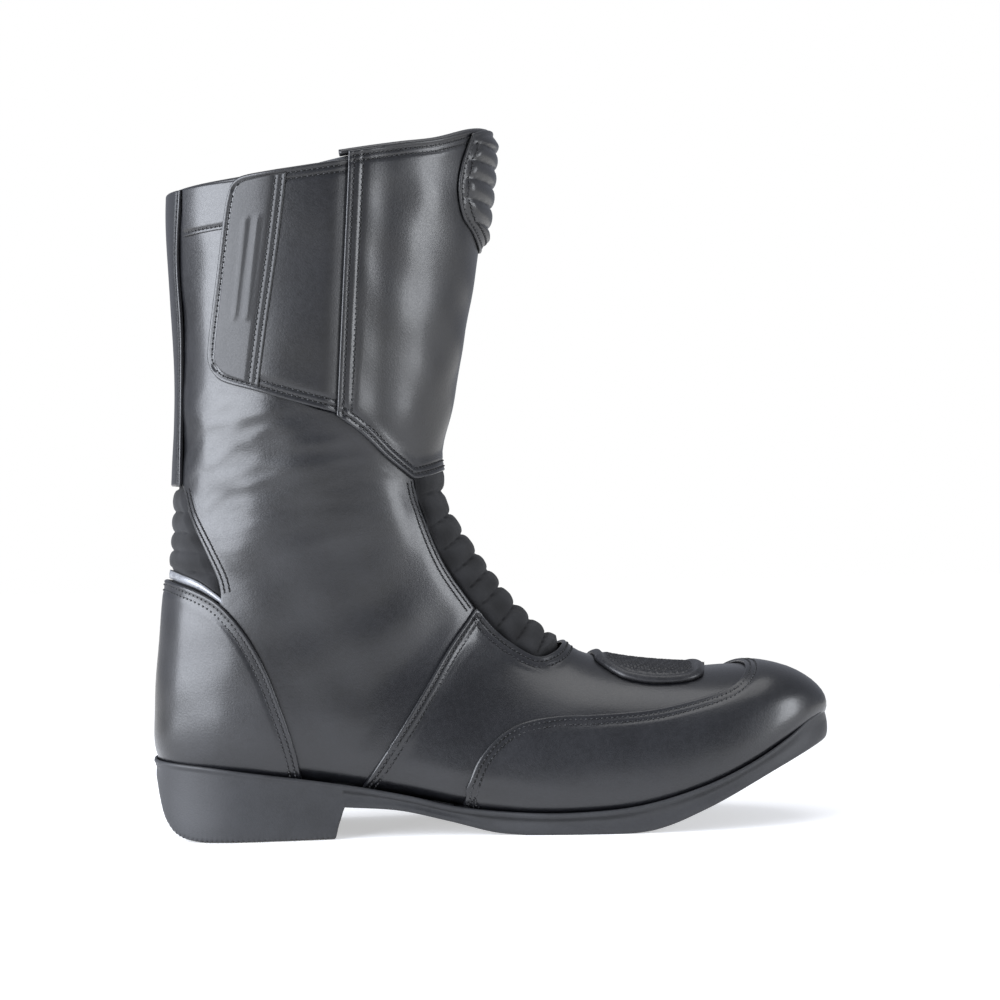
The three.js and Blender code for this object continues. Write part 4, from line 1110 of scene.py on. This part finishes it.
def facing_emblem(p, rim):
    """Two plain raised bars down the middle of the facing, where such a boot carries an embossed mark."""
    middle = (p[:, 0] + 112.5) - 0.118 * (p[:, 2] - 210)
    bar = np.maximum(rise_over(np.abs(middle + 2.4), 1.5), rise_over(np.abs(middle - 2.4), 1.5))
    return 0.55 * bar * np.clip((p[:, 2] - 226) / 3, 0, 1) * np.clip((272 - p[:, 2]) / 3, 0, 1)


facing = Panel(Patch(facing_low, facing_high, seam(FACING_REAR, 60), seam(FACING_FRONT, 60)), 4.85, 5.6,
               rows={"right": (1.8, 4.4)}, relief=facing_emblem, waves=0.1, step=1, rounding=0.6)
settle(facing.build("flap_facing_leather"), "flap", "patch_leather", ["flap_patch"])
facing.sew("flap", ends=2)
for name, inner, outer, rides in (("loop", 0.3, 1.2, "shaft"), ("hook", 1.7, 2.5, "flap")):
    patch = Patch(seam([(-118, 208), (-99.5, 204)], 20), seam([(-112.4, 282), (-94.5, 284)], 20))
    strip = Panel(patch, inner, outer, relief=lambda p, rim: 0.12 * bumps(p, 1.6, 41), step=0.9, waves=0,
                  rounding=0.3, fine=False)
    settle(strip.build(name + "_pile"), rides, "webbing", [name + "_strip"])

# %% [markdown]
# ### Zip
#
# The chain is one mesh: a pair of teeth every 2 mm, each tooth a small tapered block on its own side, so
# that the two rows mesh. The tapes are woven strips sewn to the leather. The slider, its pull and the
# stops keep their exact solids.

# %% The zip's frame, teeth and tapes
zip_ends = place_of([behind_hinge(12, 288), behind_hinge(12, 193)])
zip_points, zip_normals = last_point(*zip_ends.T), last_normal(*zip_ends.T)
down = unit(zip_points[1] - zip_points[0])
zip_across = unit(np.cross(down, zip_normals.sum(0)))
zip_out = unit(np.cross(zip_across, down))
zip_long = np.linalg.norm(zip_points[1] - zip_points[0])


def in_zip(points):
    """Points given as (across, down, out) in the zip's own frame, in the boot's frame."""
    return zip_points[0] + points @ np.stack([zip_across, down, zip_out])


def block(size, taper):
    """A block's eight corners: the tip side is narrower along the zip by a taper."""
    x, y, z = np.meshgrid([-0.5, 0.5], [-0.5, 0.5], [-0.5, 0.5], indexing="ij")
    corners = np.stack([x, y, z], -1).reshape(-1, 3) * size
    corners[corners[:, 0] < 0, 1] *= taper
    return corners


BLOCK_FACES = np.array([[0, 1, 3, 2], [4, 6, 7, 5], [0, 4, 5, 1], [2, 3, 7, 6], [0, 2, 6, 4], [1, 5, 7, 3]])
first_tooth, last_tooth, tooth_pitch = 17.8, zip_long - 3.8, 2.0
rows = []
for sign, shift_by in ((1, 0.0), (-1, 1.0)):
    at = np.arange(first_tooth + shift_by, last_tooth, tooth_pitch)
    tooth = block((3.4, 1.15, 1.9), 0.7) * (sign, 1, 1) + (sign * 1.05, 0, 0)
    rows.append(tooth + np.stack([at * 0, at, at * 0 - 2.1], -1)[:, None])
teeth = np.concatenate(rows)
faces = (BLOCK_FACES[None] + (np.arange(len(teeth)) * 8)[:, None, None]).reshape(-1, 4)
chain = mesh_piece("zip_teeth", in_zip(teeth.reshape(-1, 3)), faces)
face_out(chain)
bevel = chain.modifiers.new("worn edges", "BEVEL")
bevel.width, bevel.segments = 0.00015, 1
settle(chain, "shaft", "dark_metal", ["zip_chain"])
print("teeth:", len(teeth), "on", round(float(zip_long), 1), "mm of zip")

for name, near in (("front", -1), ("rear", 1)):
    inside, outside = 12 + near * 3.2, 12 + near * 12.5
    lines = [seam([behind_hinge(setback, 192), behind_hinge(setback, 240), behind_hinge(setback, 288.5)], 50)
             for setback in (inside, outside)]
    foot_end, top_end = (straight(lines[0][k], lines[1][k], 12) for k in (0, -1))
    tape = Panel(Patch(foot_end, top_end, *lines), -2.9, -2.1, step=1.4, waves=0, rounding=0.3, fine=False)
    settle(tape.build("zip_tape_cloth_" + name), "shaft", "webbing", ["zip_tape_" + name])

zip_facing = Panel(Patch(seam([behind_hinge(5.6, 190), behind_hinge(-12, 189)], 12),
                         seam([behind_hinge(5.6, 293), behind_hinge(-12, 294)], 12)), -1.8, -0.1, step=1.5,
                   rows={"left": (2.2,)}, waves=0.1)
settle(zip_facing.build("zip_facing_leather"), "shaft", "black_leather")
zip_facing.sew("shaft", ends=3)

# %% [markdown]
# ## Lining, footbed and binding
#
# The lining is a thin knit shell, open at the top. It is a grid that goes all round at every station, and
# its rows end in a small ring short of the toe's tip.

# %% Lining
def top_station(turn):
    """The station where the collar's line passes, for a turn: found on the panels' top edges."""
    quarter_top = seam([tuple(behind_hinge(1, 298.4)), (-111.8, 288), (-143.5, 285.4)], 60)
    line_ = corner_line(top_medial[::-1], quarter_top)
    folded = np.abs((turn + 0.5) % 1 - 0.5)
    order = np.argsort(line_[:, 1])
    return np.interp(folded, line_[order, 1], line_[order, 0])


LINING_TURNS, LINING_ROWS = 168, 130
turn = np.arange(LINING_TURNS) / LINING_TURNS
share = np.linspace(0, 1, LINING_ROWS)[:, None]
low_rows = (top_station(turn) + 0.04)[None] * (1 - share) + 25.2 * share
grid_turn = np.broadcast_to(turn, low_rows.shape)
wall = [raised(low_rows, grid_turn, np.full(low_rows.shape, off)).reshape(-1, 3) for off in (-4.3, -5.3)]
count = low_rows.size
top_row, bottom_row = np.arange(LINING_TURNS), np.arange(LINING_TURNS) + count - LINING_TURNS
next_top, next_bottom = np.roll(top_row, -1), np.roll(bottom_row, -1)
quads = [grid_faces(LINING_ROWS, LINING_TURNS, around=True),
         grid_faces(LINING_ROWS, LINING_TURNS, count, flip=True, around=True),
         np.stack([top_row, next_top, next_top + count, top_row + count], -1),
         np.stack([bottom_row, bottom_row + count, next_bottom + count, next_bottom], -1)]
lining = outwards(mesh_piece("lining_knit", np.concatenate(wall), np.concatenate(quads)))
settle(lining, "ankle", "lining_mesh", ["lining"])
print("lining:", len(lining.data.polygons), "faces")

# %% Footbed
FOOTBED_X = np.linspace(-141, 128, 120)


def foot_line(x):
    """Half width, middle in y and height of the last's bottom along the foot, from the heel to the toe."""
    s = np.interp(x, STATIONS[12:26, 2], np.arange(12, 26))
    rows_ = station_at(s)
    half, bottom = rows_[..., 4], np.interp(x, STATIONS[12:26, 2], STATIONS[12:26, 3])
    return half, rows_[..., 5] + SIDEWAYS, bottom


across_foot = np.linspace(-1, 1, 28)
ends = np.sqrt(np.clip(1 - np.abs((FOOTBED_X - 5) / 137) ** 7, 0.0025, 1))
last_half, last_middle, last_bottom = foot_line(FOOTBED_X)
half = (last_half - 9) * ends
x, w = np.meshgrid(FOOTBED_X, across_foot, indexing="ij")
y = last_middle[:, None] + w * half[:, None]
bed = last_bottom[:, None] + 1.4 * np.abs(w) ** 3
lumps = bumps(np.stack([x, y, x * 0], -1).reshape(-1, 3), 30, 51).reshape(x.shape)
cushion = 6.6 - 0.7 * np.abs(w) ** 8 + 0.35 * lumps
points = np.concatenate([np.stack([x, y, bed + cushion], -1).reshape(-1, 3),
                         np.stack([x, y, bed + 3.4], -1).reshape(-1, 3)])
footbed = outwards(mesh_piece("footbed_cushion", points, thick_faces(*x.shape)))
settle(footbed, "foot", "lining_mesh", ["footbed"])

# %% Collar binding
def tube(path, radii, normals, sides=10):
    """The rings of a tube along a path: at each point a ring spanned by the normal and the sideways
    direction, with its own radii along the two."""
    along = unit(np.gradient(path, axis=0))
    side = unit(np.cross(normals, along))
    angle = 2 * np.pi * np.arange(sides) / sides
    rise = unit(np.cross(along, side))
    up_part = rise[:, None] * (np.cos(angle)[:, None] * radii[0])
    ring = up_part + side[:, None] * (np.sin(angle)[:, None] * radii[1])
    return path[:, None] + ring


def bound_edge(name, line_, low_off, high_off, rides):
    """A strip of soft leather rolled over a top edge, from the lining side to the outer side."""
    base, normal = last_point(*line_.T), last_normal(*line_.T)
    middle, half_width = (low_off + high_off) / 2, (high_off - low_off) / 2
    path = base + normal * middle
    points_ = tube(path, (half_width, 1.5), normal, 12)
    n = len(path)
    body = grid_faces(n, 12, around=True)
    caps = np.array([[0, 1, 2, 11], [2, 3, 10, 11], [3, 4, 9, 10], [4, 5, 8, 9], [5, 6, 7, 8]])
    faces_ = np.concatenate([body, caps[:, ::-1], caps + (n - 1) * 12])
    piece = mesh_piece(name, points_.reshape(-1, 3), faces_)
    face_out(piece)
    return settle(outwards(piece), rides, "black_leather", (), strip_leather)


collar_back = crossing([tuple(behind_hinge(19.5, 290.9)), (-111.8, 287.6), (-143.5, 285)], back=True)
collar_rest = other(seam([(-143.5, 285), (-111.8, 287.6), tuple(behind_hinge(0, 297.3))], 60), True)
collar_rest[0, 1] = 0.5
front_part = across(crossing([tuple(behind_hinge(4.5, 297.8))] + moved(FRONT_TOP, 0, -0.4)[1:]))
bound_edge("binding_back", corner_line(collar_back, collar_rest), -4.6, 0.35, "shaft")
bound_edge("binding_front", front_part, -4.6, 0.35, "shaft")

# %% [markdown]
# ## The outsole
#
# A moulded rubber unit with a low heel. Seen from above it has one outline, and each point of that
# outline carries the same profile: from the middle of the underside out to the edge, up the wall, over a
# thin lip, and back inside behind the leather. The heel's lower edge is cut into fine teeth.

# %% Outsole
UNDER = np.concatenate([smooth([(-160, 30), (-153.4, 26), (-151.6, 19), (-150.2, 13), (-148.2, 8),
                                (-145.2, 4),
                                (-140.5, 1.4), (-134, 0.2), (-128, 0)], 90),
                        [(-75, 0), (-71, 14)],
                        smooth([(-71, 14), (-47, 11.8), (-25, 6.4), (-6, 1.4), (8, 0)], 60)[1:], [(50, 0)],
                        smooth([(50, 0), (57, 0.3), (65, 1.5), (74, 4.2), (84, 8.3), (95, 13.2), (112, 21.5),
                                (122, 26.2), (132.6, 30.8), (141, 34.2), (149, 37.1)], 90)[1:],
                        smooth([(149, 37.1), (151.6, 39.2), (153.2, 42.6), (160, 48)], 20)[1:]])


def under_height(x):
    return np.interp(x, UNDER[:, 0], UNDER[:, 1])


def plan_outline(reach):
    """The sole's outline from above: the upper's half width just over the rim, moved out by a reach."""
    half_turn = (1 - np.cos(np.linspace(0, np.pi, 700))) / 2
    x = -150.35 + 300.2 * half_turn
    place = place_of(np.stack([x, rim_height(x) + 2], -1))
    medial = last_point(place[:, 0], place[:, 1])[:, :2]
    lateral = last_point(place[:, 0], 1 - place[:, 1])[:, :2]
    loop = np.concatenate([medial, lateral[::-1][1:-1]])
    loop = np.concatenate([loop, loop[:1]])
    way = unit(np.gradient(np.concatenate([loop[-3:-1], loop, loop[1:3]]), axis=0))[2:-2]
    out = loop + np.stack([way[:, 1], -way[:, 0]], -1) * reach
    return out if np.abs(out[:, 1]).max() > np.abs(loop[:, 1]).max() else loop * 2 - out


def paced(loop):
    """The loop with a point every 0.55 mm round the heel, for its teeth, and every 1.4 mm elsewhere. Each
    point is then drawn towards its neighbours, which rounds the points of the toe and the heel."""
    run = np.concatenate([[0], np.cumsum(np.linalg.norm(np.diff(loop, axis=0), axis=1))])
    mid = (loop[1:, 0] + loop[:-1, 0]) / 2
    density = np.where(mid < -69, 1 / 0.55, 1 / 1.4)
    load = np.concatenate([[0], np.cumsum(np.diff(run) * density)])
    at = np.interp(np.linspace(0, load[-1], int(load[-1]) + 1)[:-1], load, run)
    points = np.stack([np.interp(at, run, loop[:, k]) for k in range(2)], -1)
    for _ in range(30):
        points = points / 2 + (np.roll(points, 1, axis=0) + np.roll(points, -1, axis=0)) / 4
    return points, at


edge_loop, edge_run = paced(plan_outline(3.6))
EX, EY = edge_loop.T
mid_y = np.interp(EX, [-154, 0, 154], [1.7, 4, -6])
rim_z, low_z = rim_height(EX), under_height(EX)
centre_x = np.clip(EX, -138, 128)
inward = unit(np.stack([centre_x - EX, (mid_y - EY) * 0.9], -1))
tooth = (np.abs((edge_run / 2.3) % 1 - 0.5) * 2) * (EX < -71.5)
toe_end = rise_over(153 - EX, 34)
profile = []


def sole_ring(share_in, inset, lift=None, below_rim=None):
    """One ring: the outline moved in by an inset, or a share of the way to the spine. It lies a lift above
    the underside there, or a depth below the rim, and at the toe the upper rings are set back."""
    if below_rim is not None:
        inset = inset + 2.2 * toe_end * np.clip(1 - below_rim / (0.65 * (rim_z - low_z)), 0, 1) ** 1.5
    x = (EX + inward[:, 0] * inset) * (1 - share_in) + centre_x * share_in
    y = (EY + inward[:, 1] * inset) * (1 - share_in) + mid_y * share_in
    floor_z = under_height(x)
    height = floor_z + lift if below_rim is None else np.maximum(rim_z - below_rim, floor_z + 0.02)
    profile.append(np.stack([x, y, np.minimum(height, rim_z)], -1))


BOTTOM_RINGS = [(1.0, 0, 0), (0.7, 0, 0), (0.4, 0, 0), (0, 16, 0), (0, 11.5, 0), (0, 8, 0), (0, 5.6, 0),
                (0, 4.2, 0), (0, 3.4, 0.9 * tooth), (0, 2.2, 1.0 * tooth), (0, 1.5, 0.1 + 1.1 * tooth),
                (0, 1.15, 0.5 + 1.1 * tooth), (0, 0.95, 1.3 + 0.9 * tooth), (0, 0.85, 2.4)]
tall = np.maximum(rim_z - low_z, 3)
WALL_RINGS = [(0, 0.9, 0.75 * tall - 0.6), (0, 1.0, 0.5 * tall), (0, 0.9, 0.25 * tall), (0, 0.65, 3.0),
              (0, 0.62, 2.1), (0, 0.15, 1.7), (0, 0.0, 1.1), (0, 0.1, 0.45), (0, 0.5, 0.08), (0, 1.0, 0),
              (0, 1.5, 0.3), (0, 1.7, 1.4), (0, 3.6, 4.2), (0, 7.0, 4.6), (0.5, 0, 4.7), (1.0, 0, 4.7)]
for share_in, inset, lift in BOTTOM_RINGS:
    sole_ring(share_in, inset, lift=lift)
for share_in, inset, depth in WALL_RINGS:
    sole_ring(share_in, inset, below_rim=depth)
grid = np.stack(profile)
outsole = mesh_piece("outsole_rubber", grid.reshape(-1, 3), grid_faces(len(profile), len(EX), around=True),
                     merge=True)
outwards(outsole)
settle(outsole, "foot", "sole_rubber", ["outsole"])
print("outsole:", len(outsole.data.polygons), "faces")

# %% [markdown]
# ## Stitches and inner parts
#
# Everything sewn is known by now, so the stitches become meshes. The parts inside the boot keep their
# own solids, and only get their finishes.

# %% Stitches and carried-over nodes
for body, piece, material in finish_sewing():
    settle(piece, body, "black_leather", (), material)
slots = {row["node"]: row["material_slot"] for row in frame["record"]["subparts"]}
for name, node in frame["nodes"].items():
    if not node.hide_render:
        node.data.materials.clear()
        node.data.materials.append(FINISHES[slots[name]])
        print("kept", name, "in", slots[name])

# %% [markdown]
# ## Floor, light and camera
#
# The boot stands on white paper in soft light: a wide panel above, a large cool one on the side of the
# heel that draws the highlights down the shaft and the heel, and a small weak one on the side of the toe.
# The camera looks at the inner side, nearly square, from a little towards the heel.

# %% Stage
FLOOR_GLOW = 0.48  # the paper's own light near the boot
ROOM_LIGHT = 0.4  # the room's light on the boot, where the camera sees 1.0


def floor_finish():
    """White paper near the boot, where shadows fall. Further away it glows evenly, so no horizon shows."""
    f = Finish("floor_paper", Specular_IOR_Level=0.0, Emission_Strength=1.0)
    tone = f.noise(6, 3)
    radius = f.node("ShaderNodeVectorMath", {"operation": "LENGTH"}, {0: f.place}, "Value")
    far = f.level(radius, 0.30, 0.85)
    paper = f.mix(f.level(tone, 0.3, 0.7), (0.76, 0.765, 0.78), (0.80, 0.805, 0.82))
    f.fill(f.shader, {"Emission Color": f.mix(far, (FLOOR_GLOW,) * 3, (1.02, 1.02, 1.02))})
    return f.finish(f.mix(far, paper, (0, 0, 0)), f.level(tone, 0.3, 0.7, 0.85, 0.95))


FLOOR_HALF = 3000
floor = mesh_piece("floor", np.array([[-1, -1, 0], [1, -1, 0], [1, 1, 0], [-1, 1, 0]]) * FLOOR_HALF,
                   np.array([[0, 1, 2, 3]]))
floor.data.materials.append(floor_finish())


def soft_light(name, at, towards, size, power, colour=(1, 1, 1)):
    lamp = bpy.data.lights.new(name, "AREA")
    lamp.shape, lamp.size, lamp.size_y, lamp.energy, lamp.color = "RECTANGLE", size[0], size[1], power, colour
    obj = bpy.data.objects.new(name, lamp)
    obj.location = at
    obj.rotation_euler = (Vector(towards) - Vector(at)).to_track_quat("-Z", "Y").to_euler()
    bpy.context.scene.collection.objects.link(obj)


soft_light("overhead", (0, -0.1, 1.3), (0, 0, 0.1), (1.2, 0.9), 7)
soft_light("heel_side", (-1.0, -0.46, 0.38), (0, 0, 0.16), (1.2, 0.74), 29, (0.88, 0.92, 1.0))
soft_light("toe_side", (1.05, -0.55, 0.32), (0, 0, 0.16), (0.4, 0.6), 7, (0.92, 0.95, 1.0))


def studio_world():
    """White paper all round, as the camera sees it, but lit at a lower level, so that the leather keeps
    its dark sides."""
    world = bpy.data.worlds.new("white_studio")
    bpy.context.scene.world = world
    world.use_nodes = True
    tree = world.node_tree
    seen, mix = tree.nodes.new("ShaderNodeLightPath"), tree.nodes.new("ShaderNodeMixShader")
    room, paper = tree.nodes["Background"], tree.nodes.new("ShaderNodeBackground")
    for shade, strength in ((room, ROOM_LIGHT), (paper, 1.0)):
        shade.inputs["Color"].default_value = (0.84, 0.88, 1, 1) if shade == room else (1, 1, 1, 1)
        shade.inputs["Strength"].default_value = strength
    tree.links.new(seen.outputs["Is Camera Ray"], mix.inputs[0])
    tree.links.new(room.outputs[0], mix.inputs[1])
    tree.links.new(paper.outputs[0], mix.inputs[2])
    tree.links.new(mix.outputs[0], tree.nodes["World Output"].inputs["Surface"])


studio_world()
bpy.context.scene.view_settings.view_transform = "Standard"

# %% Camera
AZIMUTH, ROLL, DISTANCE = math.radians(-7), math.radians(-1.0), 1.075
target = Vector((0.004, 0, 0.1475))
back = Vector((math.sin(AZIMUTH), -math.cos(AZIMUTH), 0))
right = Vector((math.cos(AZIMUTH), math.sin(AZIMUTH), 0))
up = Vector((0, 0, 1))
lens_right = right * math.cos(ROLL) + up * math.sin(ROLL)
lens_up = up * math.cos(ROLL) - right * math.sin(ROLL)
camera_data = bpy.data.cameras.new("studio_camera")
camera_data.lens, camera_data.sensor_width = 85, 36
camera_data.clip_start, camera_data.clip_end = 0.05, 20
camera = bpy.data.objects.new("studio_camera", camera_data)
camera.matrix_world = Matrix((lens_right, lens_up, back)).transposed().to_4x4()
camera.location = target + back * DISTANCE
bpy.context.scene.collection.objects.link(camera)
bpy.context.scene.camera = camera
